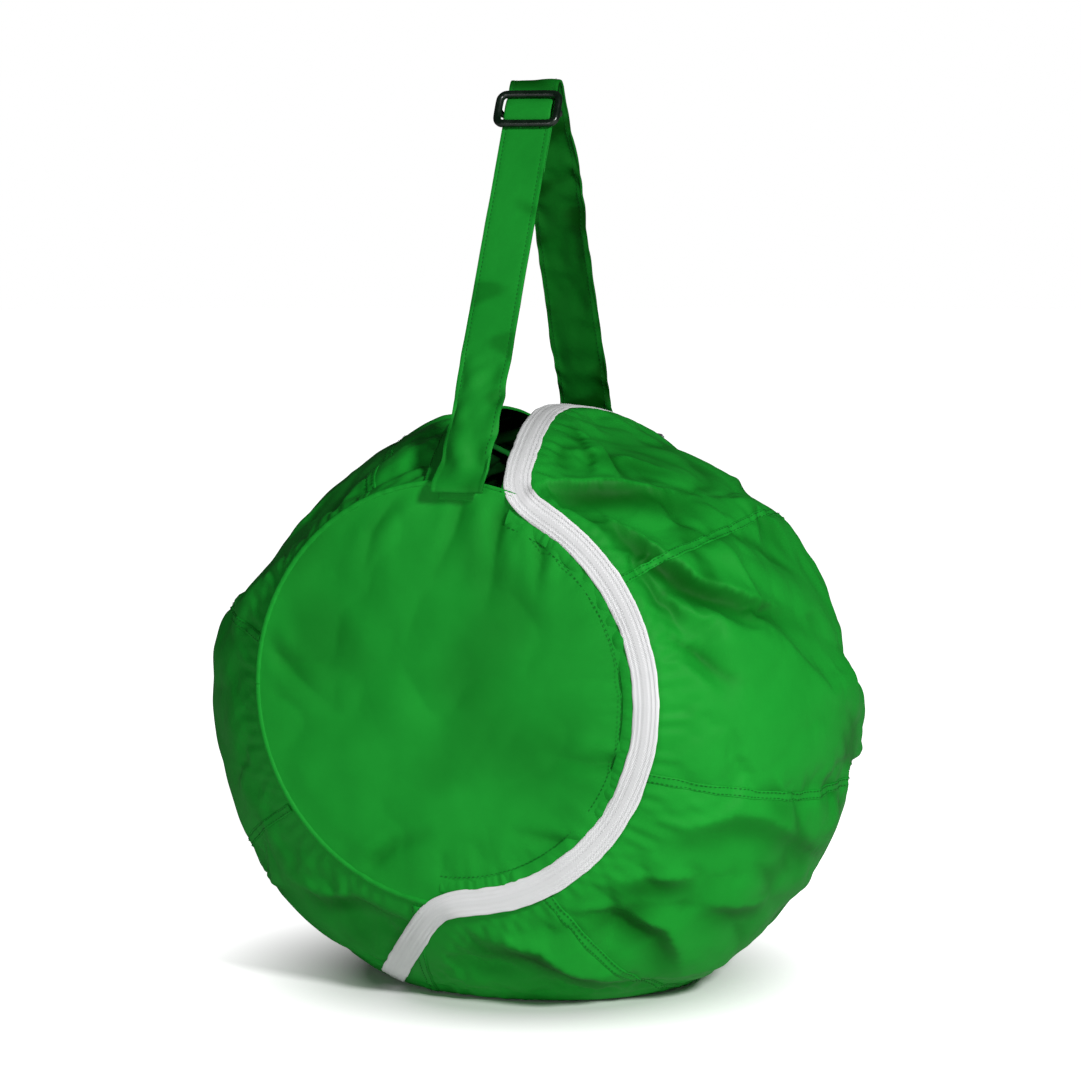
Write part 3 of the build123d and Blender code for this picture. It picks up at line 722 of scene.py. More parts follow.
def disc_relief(x, z, seed, strip):
    """Height and painted shade of a disc's cloth at a place measured from its middle; its rim stays put.
    The shade darkens its broad hollows and its creases.
    """
    radius = hypot(x, z)
    edge = float(smooth_step(0.0, 0.022, RIM - radius))
    spot = Vector((x, z, seed))
    height = 0.0030 * (1 - (radius / RIM) ** 2) + 0.0030 * noise.noise(spot / 0.080) * edge
    # painted shade in the hollows of the broad swell
    shade = 0.35 * float(smooth_step(0.05, 0.45, -noise.noise(spot / 0.080)))
    height += 0.0019 * (abs(noise.noise(spot / 0.042)) * 2 - 0.5) * edge
    for width, depth, line in DISC_CREASES:
        near, taper = 1.0, 0.0
        for index in range(len(line) - 1):
            start = Vector(line[index]) * MM
            run = Vector(line[index + 1]) * MM - start
            place = min(1.0, max(0.0, (Vector((x, z)) - start).dot(run) / run.dot(run)))
            distance = (Vector((x, z)) - start - run * place).length
            if distance < near:
                near, taper = distance, (index + place) / (len(line) - 1)
        wide = width * MM
        fade = (1 - 0.85 * taper) * edge
        height -= 1.35 * depth * MM * fade * np.exp(-near / (0.7 * wide))
        height += 1.1 * depth * MM * fade * np.exp(-((near - 1.8 * wide) / (1.3 * wide)) ** 2)
        # painted shade along each crease
        shade = max(shade, float(0.22 * depth * fade * np.exp(-(near / (1.1 * wide)) ** 2)))
    if strip:
        turn = degrees(atan2(z, x))
        beside = float(smooth_step(ZIP_LOW_ANGLE - 8, ZIP_LOW_ANGLE + 6, turn) * smooth_step(78, 66, turn))
        pull = np.exp(-max(0.0, STRIP_INNER - radius) / 0.014) * beside
        pucker = noise.noise(Vector((turn / 3.4, 0.3, seed)))
        height += pull * (0.0016 * pucker - 0.0010)
    return float(max(height, -0.0019)), min(shade, 1.0)


def make_disc(name, node, y, sign, seed, strip):
    count = 104
    mesh = bmesh.new()
    bmesh.ops.create_grid(mesh, x_segments=count, y_segments=count, size=1.0)
    cloth_map = mesh.loops.layers.uv.new("cloth")
    fold_shade = mesh.verts.layers.float.new("fold_shade")
    for vertex in mesh.verts:
        u, v = vertex.co.x, vertex.co.y
        x, z = RIM * u * sqrt(1 - v * v / 2), RIM * v * sqrt(1 - u * u / 2)
        out, vertex[fold_shade] = disc_relief(x, z, seed, strip)
        vertex.co = (MID_X + x, y + sign * out, DISC_Z + z)
    for face in mesh.faces:
        for loop in face.loops:
            loop[cloth_map].uv = (loop.vert.co.x, loop.vert.co.z)
    mesh.normal_update()
    if sum(face.normal.y for face in mesh.faces) * sign < 0:
        bmesh.ops.reverse_faces(mesh, faces=mesh.faces)
    piece = finish_piece(name, mesh, SHELL, replaces=(node,), slot="shell_fabric")
    return thicken(piece, FABRIC)


def rim_line(y, radius, start, end, count):
    turns = np.radians(np.linspace(start, end, count))
    across, rise = radius * np.cos(turns), radius * np.sin(turns)
    return np.stack([MID_X + across, y + 0 * turns, DISC_Z + rise], axis=1)


def ribbon(name, line, outward, offsets, heights, material, thickness, **facts):
    """A band swept along a line; offsets and heights give its cross-section, per point if 2-D."""
    tangent = np.gradient(line, axis=0)
    tangent /= np.linalg.norm(tangent, axis=1, keepdims=True)
    across = np.cross(outward, tangent)
    across /= np.linalg.norm(across, axis=1, keepdims=True)
    offsets = np.broadcast_to(offsets, (len(line), np.shape(offsets)[-1]))
    heights = np.broadcast_to(heights, offsets.shape)
    points = line[:, None] + across[:, None] * offsets[..., None] + outward[:, None] * heights[..., None]
    points[..., 2] = np.maximum(points[..., 2], 0.0006)
    mesh = mapped_grid(points)
    mesh.normal_update()
    middle = len(line) // 2
    facing = sum(face.normal.dot(Vector(outward[middle])) for face in mesh.faces
                 if (face.calc_center_median() - Vector(line[middle])).length < 0.02)
    if facing < 0:
        bmesh.ops.reverse_faces(mesh, faces=mesh.faces)
    rounds = facts.pop("rounds", 1)
    piece = finish_piece(name, mesh, material, **facts)
    return thicken(piece, thickness, rounds=rounds)


def make_rim_seam(name, y, sign, seed):
    """Turned seam allowance round a disc, a little proud, and sunk where the zip lies over it."""
    count = 420
    line = rim_line(y, RIM, -180, 180, count)
    line[-1] = line[0]
    travel = np.linspace(0, 2 * pi, count)
    wobble = np.array([noise.noise(Vector((cos(t) * 26, sin(t) * 26, seed))) for t in travel])
    outward = np.stack([0 * travel, 0 * travel + sign, 0 * travel], axis=1)
    offsets = np.array([-2.6, -1.6, -0.4, 0.8, 1.7, 2.2]) * MM
    heights = np.array([0.1, 0.7, 0.9, 0.6, -0.4, -1.8]) * MM + wobble[:, None] * 0.5 * MM
    if sign < 0:
        turn = np.linspace(-180, 180, count)
        sunk = (smooth_step(-97, -91, turn) * smooth_step(88, 79, turn))[:, None]
        heights = heights * (1 - sunk) - 1.6 * MM * sunk
        offsets = offsets[::-1]
        heights = heights[:, ::-1]
    return ribbon(name, line, outward, offsets, heights, SHELL, 0.4 * MM, slot="shell_fabric")


def make_strip():
    """Gathered strip between the disc's stitch line and the zip, ruched in small folds."""
    start, end = ZIP_LOW_ANGLE, degrees(atan2(sqrt(ZIP_R ** 2 - ZIP_RIM_X ** 2), ZIP_RIM_X))
    count = 520
    line = rim_line(FRONT, STRIP_INNER + 4 * MM, start, end, count)
    travel = np.linspace(0, radians(end - start) * STRIP_INNER, count)
    folds = np.array([noise.noise(Vector((t / 0.0055 + 2 * sin(t / 0.03), 0.2, 3.1))) for t in travel])
    slow = 0.5 + 0.5 * line_noise(travel, 40 * MM, 4.2, 0.6)
    outward = np.stack([0 * travel, 0 * travel - 1, 0 * travel], axis=1)
    offsets = np.linspace(-6.2, 6.2, 9) * MM
    arch = 1 - np.abs(np.linspace(-1, 1, 9)) ** 2.5
    heights = (0.4 + 0.9 * arch[None, :] + (2.3 * folds * slow)[:, None] * (0.35 + arch[None, :])) * MM
    ribbon("gathered_strip_cloth", line, outward, offsets, np.maximum(heights, 0.1 * MM), SHELL, 0.35 * MM,
           replaces=("gathered_rim_strip",), slot="shell_fabric")
    thread_line = rim_line(FRONT - 2.2 * MM, STRIP_INNER - 2.4 * MM, start, end, 200)
    out = np.zeros_like(thread_line)
    out[:, 1] = -1
    thread_piece("topstitch_disc", [(thread_line, out)])


def make_discs():
    make_disc("front_disc_cloth", "front_disc_panel", FRONT, -1, 1.7, True)
    make_disc("rear_disc_cloth", "rear_disc_panel", REAR, 1, 6.1, False)
    make_rim_seam("front_rim_seam", FRONT, -1, 2.0)
    make_rim_seam("rear_rim_seam", REAR, 1, 5.0)
    make_strip()


# ---------------------------------------------------------------- mouth hems
def make_mouth_hems():
    """Folded hem down the mouth's left side, round its rear corners, and along the front lip."""
    corner = 12 * MM
    left = [(float(mouth_left_x(y)), y) for y in np.linspace(FRONT + 3 * MM, MOUTH_REAR - corner, 70)]
    turn = [(MOUTH_LEFT + corner - corner * cos(t), MOUTH_REAR - corner + corner * sin(t))
            for t in np.linspace(0.1, pi / 2, 12)]
    right_x = float(zip_x(np.array([MOUTH_REAR]))[0]) - ZIP_HALF
    rear = [(x, MOUTH_REAR) for x in np.linspace(MOUTH_LEFT + corner + 2 * MM, right_x, 18)]
    plan = np.array(left + turn + rear)
    tangent = np.gradient(plan, axis=0)
    tangent /= np.linalg.norm(tangent, axis=1, keepdims=True)
    away = np.stack([-tangent[:, 1], tangent[:, 0]], axis=1)
    profile = ((0.0, -1.2), (0.2, 0.9), (1.2, 1.7), (6.0, 1.2), (10.8, 1.1), (11.9, 0.8), (12.3, 0.1))
    ring = []
    for offset, height in profile:
        spot = plan + away * offset * MM
        angle = angle_at(spot[:, 0], spot[:, 1])
        point = wall_point(angle, spot[:, 1])
        middle = np.array([0, 0, HUB_Z])
        out = point - middle
        out[:, 1] *= 0.5
        out /= np.linalg.norm(out, axis=1, keepdims=True)
        ripple = np.array([noise.noise(Vector((p[0] / 0.02, p[1] / 0.02, offset / 9))) for p in spot])
        ring.append(point + out * (height * MM + ripple[:, None] * 0.5 * MM))
    mesh = mapped_grid(np.stack(ring, axis=1), INSIDE)
    hem = finish_piece("mouth_hem_crown_cloth", mesh, SHELL, replaces=("mouth_hem_crown",),
                       slot="shell_fabric")
    thicken(hem, 0.5 * MM)
    hub = np.array([0, 0, HUB_Z])
    line = ring[4] + (ring[4] - hub) * 0.0012
    out = line - hub
    out /= np.linalg.norm(out, axis=1, keepdims=True)
    thread_piece("topstitch_mouth_crown", [(line, out)])

    left_turn = degrees(atan2(sqrt(RIM ** 2 - MOUTH_FRONT_LEFT ** 2), MOUTH_FRONT_LEFT))
    zip_turn = degrees(atan2(sqrt(ZIP_R ** 2 - ZIP_RIM_X ** 2), ZIP_RIM_X)) + 9
    line = rim_line(FRONT, RIM - HEM / 2, zip_turn, left_turn, 60)
    outward = np.zeros_like(line)
    outward[:, 1] = -1
    ripple = line_noise(line[:, 0], 12 * MM, 1.1, 2.2)
    offsets = np.array([6.2, 6.0, 4.8, 0, -4.8, -5.9]) * MM
    taper = smooth_step(0, 14, np.arange(60))[:, None]
    heights = (np.array([-1.0, 0.9, 1.5, 1.2, 1.2, 0.1]) * MM + ripple[:, None] * 0.5 * MM) * taper
    ribbon("mouth_hem_front_cloth", line, outward, offsets, heights, SHELL, 0.45 * MM,
           replaces=("mouth_hem_front",), slot="shell_fabric")


# ---------------------------------------------------------------- zip
def meridian(angle):
    """One line of the wall from the front rim to the rear, with its running length."""
    depths = np.linspace(FRONT, REAR, 120)
    line = wall_point(angle + 0 * depths, depths)
    travel = np.concatenate([[0], np.cumsum(np.linalg.norm(np.diff(line, axis=0), axis=1))])
    return depths, line, travel


def unroll(point):
    """Place of a wall point on the front disc's plane, as if the wall were opened out flat."""
    hub_turn = degrees(atan2(point[2] - HUB_Z, point[0]))
    depths, line, travel = meridian(hub_turn)
    rim = line[0]
    turn = atan2(rim[2] - DISC_Z, rim[0])
    reach = RIM + float(np.interp(point[1], depths, travel))
    return reach * cos(turn), reach * sin(turn)


def roll(place):
    """Point on the disc or, past its rim, on the wall, with its outward direction."""
    reach = hypot(*place)
    turn = atan2(place[1], place[0])
    rim = np.array([RIM * cos(turn), FRONT, DISC_Z + RIM * sin(turn)])
    if reach <= RIM:
        point = np.array([place[0], FRONT, DISC_Z + place[1]])
    else:
        hub_turn = degrees(atan2(rim[2] - HUB_Z, rim[0]))
        depths, _, travel = meridian(hub_turn)
        depth = float(np.interp(reach - RIM, travel, depths))
        point = wall_point(np.array([hub_turn]), np.array([depth]))[0]
    hub_turn = degrees(atan2(point[2] - HUB_Z, point[0]))
    near = wall_point(np.array([hub_turn - 1, hub_turn + 1, hub_turn, hub_turn]),
                      point[1] + np.array([0, 0, -0.004, 0.004]))
    normal = np.cross(near[1] - near[0], near[3] - near[2])
    normal *= np.sign(normal @ (point - np.array([0, 0, HUB_Z])))
    normal /= np.linalg.norm(normal)
    share = float(smooth_step(-0.004, 0.012, reach - RIM))
    outward = normal * share + np.array([0, -1, 0]) * (1 - share)
    return point, outward / np.linalg.norm(outward)


def zip_line():
    """Middle of the zip with its outward directions: rear end, crown, disc rim, then the ground."""
    depths = np.linspace(ZIP_REAR, FRONT, 90)
    over = wall_point(angle_at(zip_x(depths), depths), depths)
    flat = [unroll(point) for point in over]
    top = atan2(sqrt(ZIP_R ** 2 - ZIP_RIM_X ** 2), ZIP_RIM_X)
    flat += [(ZIP_R * cos(turn), ZIP_R * sin(turn))
             for turn in np.linspace(top, radians(ZIP_LOW_ANGLE), 150)[1:]]
    foot = wall_point(np.array([degrees(atan2(ZIP_LOW_END.z - HUB_Z, ZIP_LOW_END.x))]),
                      np.array([ZIP_LOW_END.y]))[0]
    start, end = np.array(flat[-1]), np.array(unroll(foot))
    flat += [tuple(start + (end - start) * share) for share in np.linspace(0, 1, 40)[1:]]
    flat = np.array(flat)
    travel = np.concatenate([[0], np.cumsum(np.linalg.norm(np.diff(flat, axis=0), axis=1))])
    even = np.linspace(0, travel[-1], int(travel[-1] / (1.2 * MM)))
    flat = np.stack([np.interp(even, travel, flat[:, axis]) for axis in range(2)], axis=1)
    flat = soften(flat, 12, 3)
    placed = [roll(place) for place in flat]
    line = soften(np.array([point for point, _ in placed]), 3, 1)
    return line, soften(np.array([outward for _, outward in placed]), 6, 2)


def soften(values, reach, rounds):
    """Moving average along a line, with both ends kept."""
    for _ in range(rounds):
        padded = np.concatenate([2 * values[:1] - values[reach:0:-1], values,
                                 2 * values[-1:] - values[-2:-reach - 2:-1]])
        window = np.ones(2 * reach + 1) / (2 * reach + 1)
        columns = [np.convolve(column, window, "valid") for column in padded.T]
        values = np.stack(columns, axis=1)
    return values


def make_zip():
    line, outward = zip_line()
    outward /= np.linalg.norm(outward, axis=1, keepdims=True)
    travel = np.concatenate([[0], np.cumsum(np.linalg.norm(np.diff(line, axis=0), axis=1))])
    rear = smooth_step(0.150, 0.200, travel)                 # the zip is drawn flat under its slider
    low = smooth_step(travel[-1], travel[-1] - 0.020, travel)
    lift = (0.7 * MM + rear * 0.9 * MM) * (0.25 + 0.75 * low)
    waves = [line_noise(travel, 8.5 * MM, seed, 0.4) for seed in (1.3, 8.9)]
    curls = [line_noise(travel, 19 * MM, seed, 2.4) for seed in (3.3, 5.9)]
    step = 2
    tape_shares = np.linspace(0, 1, 12)
    ribs = 0.17 * np.cos(2 * pi * tape_shares * 2.5) + 0.30 * (1 - tape_shares)
    tapes = zip(("zip_tape_inner", "zip_tape_outer"), (-1, 1), waves, curls)
    for name, side, wave, curl in tapes:
        edge = ZIP_HALF + 0.3 * MM + wave * 0.8 * MM * (0.3 + 0.7 * rear)
        offsets = side * (1.7 * MM + (edge - 1.7 * MM)[:, None] * tape_shares)
        heights = lift[:, None] + (0.25 + ribs[None, :]) * MM * 0.8
        heights = heights + (curl * 0.9 * MM * rear)[:, None] * tape_shares ** 2
        heights[:, -1] -= 0.35 * MM
        order = slice(None, None, -1) if side < 0 else slice(None)
        ribbon(name + "_woven", line[::step], outward[::step], offsets[::step][:, order],
               heights[::step][:, order], ZIP_WHITE, 0.5 * MM, replaces=(name,), slot="zip_tape")
    fine = np.linspace(0, travel[-1], int(travel[-1] / (0.55 * MM)))
    coil_line = np.stack([np.interp(fine, travel, line[:, axis]) for axis in range(3)], axis=1)
    coil_out = np.stack([np.interp(fine, travel, outward[:, axis]) for axis in range(3)], axis=1)
    coil_lift = np.interp(fine, travel, lift)
    profile = np.array([0.1, 0.55, 0.66, 0.50, 0.66, 0.55, 0.1])
    offsets = np.array([-2.4, -2.0, -1.1, 0.0, 1.1, 2.0, 2.4]) * MM
    teeth = 0.05 * np.cos(2 * pi * fine / (2.2 * MM))
    ridges = profile + np.outer(teeth, np.array([0, 1, 1, 0, -1, -1, 0]))
    heights = coil_lift[:, None] + ridges * MM * 0.8 + 0.1 * MM
    ribbon("zip_coil_teeth", coil_line, coil_out, offsets, heights, ZIP_COIL, 0.4 * MM,
           replaces=("zip_coil",), slot="zip_teeth", rounds=0)
    for name, side in (("inner", -1), ("outer", 1)):
        tangent = np.gradient(line, axis=0)
        across = np.cross(outward, tangent)
        across /= np.linalg.norm(across, axis=1, keepdims=True)
        for row, offset in enumerate((4.7, 7.6)):
            thread = line + across * side * offset * MM + outward * (lift[:, None] + 0.35 * MM)
            mesh = bmesh.new()
            stitch_row(mesh, thread, outward, length=2.4 * MM, pitch=3.0 * MM, radius=0.22 * MM)
            finish_piece(f"zip_thread_{name}_{row}", mesh, ZIP_WHITE, slot="zip_tape", smooth=False)


# ---------------------------------------------------------------- strap and slider
STRAP_TURN = radians(3.5)
STRAP_MIDDLE = Vector((0.003, -0.008, 0))
STRAP_ALONG = Vector((-sin(STRAP_TURN), cos(STRAP_TURN), 0))
STRAP_SIDE = Vector((cos(STRAP_TURN), sin(STRAP_TURN), 0))
FRONT_FOOT = Vector((-0.1624, 0.396))
REAR_FOOT = Vector((0.127, 0.419))
APEX_Z = 0.6828
FOLD_R = 0.007
STRAP_HALF = 0.019
SLIDER_BELOW_FOLD = 0.019       # slider's middle below the strap's bend, along the front leg
LOOP_HALF_WIDTH = 23.2 * MM
LOOP_HALF_RISE = 12.6 * MM
LOOP_CORNER = 5.5 * MM
LOOP_HEIGHT = 4.4 * MM          # outer loop in front of the strap's middle plane
LOOP_BAR_R = 2.95 * MM
MIDDLE_BAR_R = 2.3 * MM
SLIDER_TRAVEL = 0.305           # the slider's place along the strap from its front end
SLIDE_CALM = (0.100, 0.135, 0.325, 0.345)   # the strap lies flatter between these, where it slides
REAR_LEG_FROM = (0.318, 0.345)  # the strap's bend, where the painted shade of its rear leg begins
TAIL_HALF = 18.6 * MM
TAIL_DROP = 50                  # millimetres of folded strap end below the middle bar


def in_strap_plane(along, height):
    return STRAP_MIDDLE + STRAP_ALONG * along + Vector((0, 0, height))


def strap_line():
    """Middle of the strap in its own plane: tab on the disc, front leg, bend, rear leg, rear patch."""
    points = [Vector((-0.1702, 0.3862)), Vector((-0.1700, 0.3905)), Vector((-0.1672, 0.3945))]
    front_top, rear_top = Vector((-FOLD_R, APEX_Z - FOLD_R)), Vector((FOLD_R, APEX_Z - FOLD_R))
    points += [FRONT_FOOT.lerp(front_top, share) for share in np.linspace(0.02, 1, 110)]
    points += [Vector((-FOLD_R * cos(turn), APEX_Z - FOLD_R + FOLD_R * sin(turn)))
               for turn in np.linspace(0, pi, 14)[1:-1]]
    points += [rear_top.lerp(REAR_FOOT, share) for share in np.linspace(0, 1, 96)]
    points += [Vector((0.131, 0.4155)), Vector((0.136, 0.4125)), Vector((0.142, 0.4095))]
    return points


def strap_wrinkle(travel, share, seed):
    """Height of the strap's crumpled plies: soft cross folds and smaller creases."""
    spot = Vector((travel / 0.050, share * 0.9 + travel / 0.11, seed))
    soft = noise.noise(spot) * 0.0036
    crossing = Vector((travel / 0.026, share * 1.6 - travel / 0.06, seed + 4))
    sharp = (abs(noise.noise(crossing)) - 0.22) * 0.0042
    return soft + sharp


def strap_shade(travel, shares):
    """Painted shade across the strap: darker cross creases, and a rear leg painted darker as if in shadow.
    """
    rear_leg_painted_shade = 0.60 * float(smooth_step(*REAR_LEG_FROM, travel))
    spots = [Vector((travel / 0.022, share * 0.55 + travel / 0.15, 2.0)) for share in shares]
    return [rear_leg_painted_shade + 0.40 * float(smooth_step(0.12, 0.45, -noise.noise(spot))) for spot in spots]


def make_strap():
    line = strap_line()
    travel = [0.0]
    for first, second in zip(line[:-1], line[1:]):
        travel.append(travel[-1] + (second - first).length)
    shares = np.array([-1, -0.985, -0.93, -0.86, -0.82, -0.72, -0.5, -0.25, 0, 0.25, 0.5, 0.72, 0.82, 0.86,
                       0.93, 0.985, 1])
    rows = []
    edge_lines = {-1: [], 1: []}
    for index, spot in enumerate(line):
        before, after = line[max(index - 1, 0)], line[min(index + 1, len(line) - 1)]
        heading = (after - before).normalized()
        outward = STRAP_ALONG * -heading.y + Vector((0, 0, heading.x))
        from_front, from_rear = travel[index], travel[-1] - travel[index]
        flare = float(1 - smooth_step(0.0, 0.075, from_front))
        rear_flare = float(1 - smooth_step(0.0, 0.05, from_rear))
        rear_share = float(smooth_step(0.330, 0.420, from_front))
        rear_bow = sin(pi * min(1.0, from_rear / 0.30)) * 6.0 * MM * rear_share
        half = STRAP_HALF + 0.4 * MM * flare + (1.8 * MM + 1.5 * MM * rear_flare) * rear_share
        free = float(smooth_step(0.006, 0.035, from_front) * smooth_step(0.006, 0.03, from_rear))
        near_slider = float(1 - smooth_step(0.012, 0.055, abs(from_front - SLIDER_TRAVEL)))
        entry, inside, end, leave = SLIDE_CALM
        slide_path = float(smooth_step(entry, inside, from_front) * smooth_step(leave, end, from_front))
        crumple = free * (1 - 0.85 * near_slider) * (1 - 0.88 * slide_path)
        middle = in_strap_plane(spot.x + rear_bow, spot.y) - STRAP_SIDE * (3.5 * MM * flare)
        sway = noise.noise(Vector((travel[index] / 0.12, 3.0, 1.0))) * 1.6 * MM * crumple
        row = []
        for share in shares:
            lift = strap_wrinkle(travel[index], share, 2.0) * crumple
            lift += 0.0050 * flare * free * sin(share * 5.0 + travel[index] / 0.012)
            groove = -0.45 * MM * np.exp(-((abs(share) - 0.84) / 0.035) ** 2)
            roll = -0.3 * MM * (abs(share) > 0.97)
            ripple = noise.noise(Vector((travel[index] / 0.018, share * 3, 9.0))) * 0.5 * MM * crumple
            row.append(middle + STRAP_SIDE * (share * half + sway + ripple * abs(share))
                       + outward * (lift + groove + roll))
        rows.append(row)
        if 6 < index < len(line) - 5:
            for side in (-1, 1):
                edge_lines[side].append((row[4 if side < 0 else 12], outward))
    points = np.array([[tuple(point) for point in row] for row in rows])
    mesh = mapped_grid(points, shade=np.array([strap_shade(along, shares) for along in travel]))
    mesh.normal_update()
    if sum(face.normal.y for face in mesh.faces if face.calc_center_median().y < -0.05) > 0:
        bmesh.ops.reverse_faces(mesh, faces=mesh.faces)
    strap = finish_piece("shoulder_strap_cloth", mesh, STRAP, body=None,
                         replaces=("shoulder_strap", "strap_anchor_front", "strap_anchor_rear"),
                         slot="strap_fabric")
    thicken(strap, 2.0 * MM, offset=0)
    follow_strap(strap)
    rows = []
    for side in (-1, 1):
        for face_side in (-1, 1):
            facing = np.array([tuple(outward * face_side) for _, outward in edge_lines[side]])
            path = np.array([tuple(point) for point, _ in edge_lines[side]]) + facing * 1.05 * MM
            rows.append((path, facing))
    thread = thread_piece("topstitch_strap", rows, slot="strap_fabric", body=None)
    follow_strap(thread)


def follow_strap(piece):
    """Bakes the piece's placement into its mesh; the strap keeps the shape it was built in."""
    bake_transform(piece)


def slider_frame():
    """Place of the three-bar slider: middle, across, up the strap and outwards."""
    up = (in_strap_plane(-FOLD_R, APEX_Z - FOLD_R) - in_strap_plane(*FRONT_FOOT)).normalized()
    outward = STRAP_SIDE.cross(up)
    if outward.y > 0:
        outward.negate()
    top = in_strap_plane(-FOLD_R, APEX_Z - FOLD_R)
    return top - up * SLIDER_BELOW_FOLD, STRAP_SIDE, up, outward


def bar_mesh(name, points, cyclic, radius, frame_axes):
    """A round bar bent through points in the slider's own axes."""
    origin, across, up, outward = frame_axes
    curve = bpy.data.curves.new(name, "CURVE")
    curve.dimensions = "3D"
    curve.bevel_depth = radius
    curve.bevel_resolution = 5
    curve.use_fill_caps = True
    spline = curve.splines.new("NURBS")
    spline.points.add(len(points) - 1)
    for target, (x, y, z) in zip(spline.points, points):
        place = origin + across * x + up * y + outward * z
        target.co = (*place, 1)
    spline.use_cyclic_u = cyclic
    spline.order_u = 4
    spline.use_endpoint_u = not cyclic
    spline.resolution_u = 5
    holder = bpy.data.objects.new(name, curve)
    bpy.context.scene.collection.objects.link(holder)
    mesh = bpy.data.meshes.new_from_object(holder.evaluated_get(bpy.context.evaluated_depsgraph_get()))
    bpy.data.objects.remove(holder)
    return mesh


def rounded_loop(half_x, half_y, corner, height):
    """Points round a rectangle whose corners are arcs."""
    points = []
    for sx, sy, start in ((1, 1, 0), (-1, 1, 90), (-1, -1, 180), (1, -1, 270)):
        for step in range(5):
            turn = radians(start + 90 * step / 4)
            points.append((sx * (half_x - corner) + corner * cos(turn),
                           sy * (half_y - corner) + corner * sin(turn), height))
    return points


def make_slider():
    axes = slider_frame()
    height = LOOP_HEIGHT
    loop = rounded_loop(LOOP_HALF_WIDTH, LOOP_HALF_RISE, LOOP_CORNER, height)
    parts = [bar_mesh("slider_loop", loop, True, LOOP_BAR_R, axes)]
    back = -5.0 * MM
    side = LOOP_HALF_WIDTH - 0.2 * MM
    middle = [(-side, 0, height), (-side, 0, height - 2 * MM), (-side, 0, 0), (-side, 0, back + 1.5 * MM),
              (-side + 1.5 * MM, 0, back), (-side + 5 * MM, 0, back), (side - 5 * MM, 0, back),
              (side - 1.5 * MM, 0, back), (side, 0, back + 1.5 * MM), (side, 0, 0),
              (side, 0, height - 2 * MM), (side, 0, height)]
    parts.append(bar_mesh("slider_bar", middle, False, MIDDLE_BAR_R, axes))
    mesh = bmesh.new()
    for part in parts:
        mesh.from_mesh(part)
        bpy.data.meshes.remove(part)
    bmesh.ops.remove_doubles(mesh, verts=mesh.verts, dist=1e-6)
    bmesh.ops.recalc_face_normals(mesh, faces=mesh.faces)
    finish_piece("three_bar_slider", mesh, SLIDER, body="glide", replaces=("tri_glide_slider",),
                 slot="slider_plastic")

    origin, across, up, outward = axes
    window = []
    for rise in np.linspace(-10.2, 10.2, 15):
        bulge = 1.0 - (rise / 10.4) ** 2
        row = []
        for share in np.linspace(-1, 1, 13):
            tuck = TAIL_HALF * (1 - 0.02 * bulge)
            crumple = 0.25 * MM * noise.noise(Vector((share * 3, rise / 4, 1)))
            height = 1.9 * MM + 3.2 * MM * bulge ** 0.6 + crumple
            height -= 0.5 * MM * abs(share) ** 6
            row.append(tuple(origin + across * tuck * share + up * rise * MM + outward * height))
        window.append(row)
    mesh = mapped_grid(np.array(window))
    mesh.normal_update()
    if sum(face.normal.dot(outward) for face in mesh.faces) < 0:
        bmesh.ops.reverse_faces(mesh, faces=mesh.faces)
    bulge_piece = finish_piece("strap_over_bar", mesh, STRAP, body="glide", slot="strap_fabric")
    thicken(bulge_piece, 0.8 * MM)

    tail = []
    for drop in np.linspace(3.5, -TAIL_DROP, 40):
        wrap = drop > -4.5
        row = []
        for share in np.linspace(-1, 1, 11):
            height = -(1.2 + 0.5 + 2.4) * MM + 0.5 * MM * noise.noise(Vector((share, drop / 12, 7)))
            if wrap:
                height -= 2.6 * MM * sqrt(max(0.0, 1 - (drop / 4.5) ** 2))
            row.append(tuple(origin + across * TAIL_HALF * share + up * drop * MM + outward * height))
        tail.append(row)
    mesh = mapped_grid(np.array(tail))
    mesh.normal_update()
    if sum(face.normal.dot(outward) for face in mesh.faces) > 0:
        bmesh.ops.reverse_faces(mesh, faces=mesh.faces)
    tail_piece = finish_piece("strap_end_cloth", mesh, STRAP, body="glide", replaces=("strap_end_loop",),
                              slot="strap_fabric")
    thicken(tail_piece, 0.9 * MM)


# ---------------------------------------------------------------- inner pieces that keep their shape
def finish_inner_nodes():
    finishes = {"front_disc_stiffener": FOAM, "rear_disc_stiffener": FOAM, "front_rim_binding": BINDING,
                "rear_rim_binding": BINDING, "zip_end_stop": ZINC, "zip_slider": ZINC, "zip_pull_tab": ZINC}
    for node, material in finishes.items():
        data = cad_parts[node].data
        data.materials.clear()
        data.materials.append(material)


# ---------------------------------------------------------------- studio
def add_area_light(name, place, aim, size, power):
    lamp = bpy.data.lights.new(name, "AREA")
    lamp.shape = "DISK"
    lamp.size = size
    lamp.energy = power
    holder = bpy.data.objects.new(name, lamp)
    holder.location = place
    holder.rotation_euler = (Vector(aim) - Vector(place)).to_track_quat("-Z", "Y").to_euler()
    bpy.context.scene.collection.objects.link(holder)


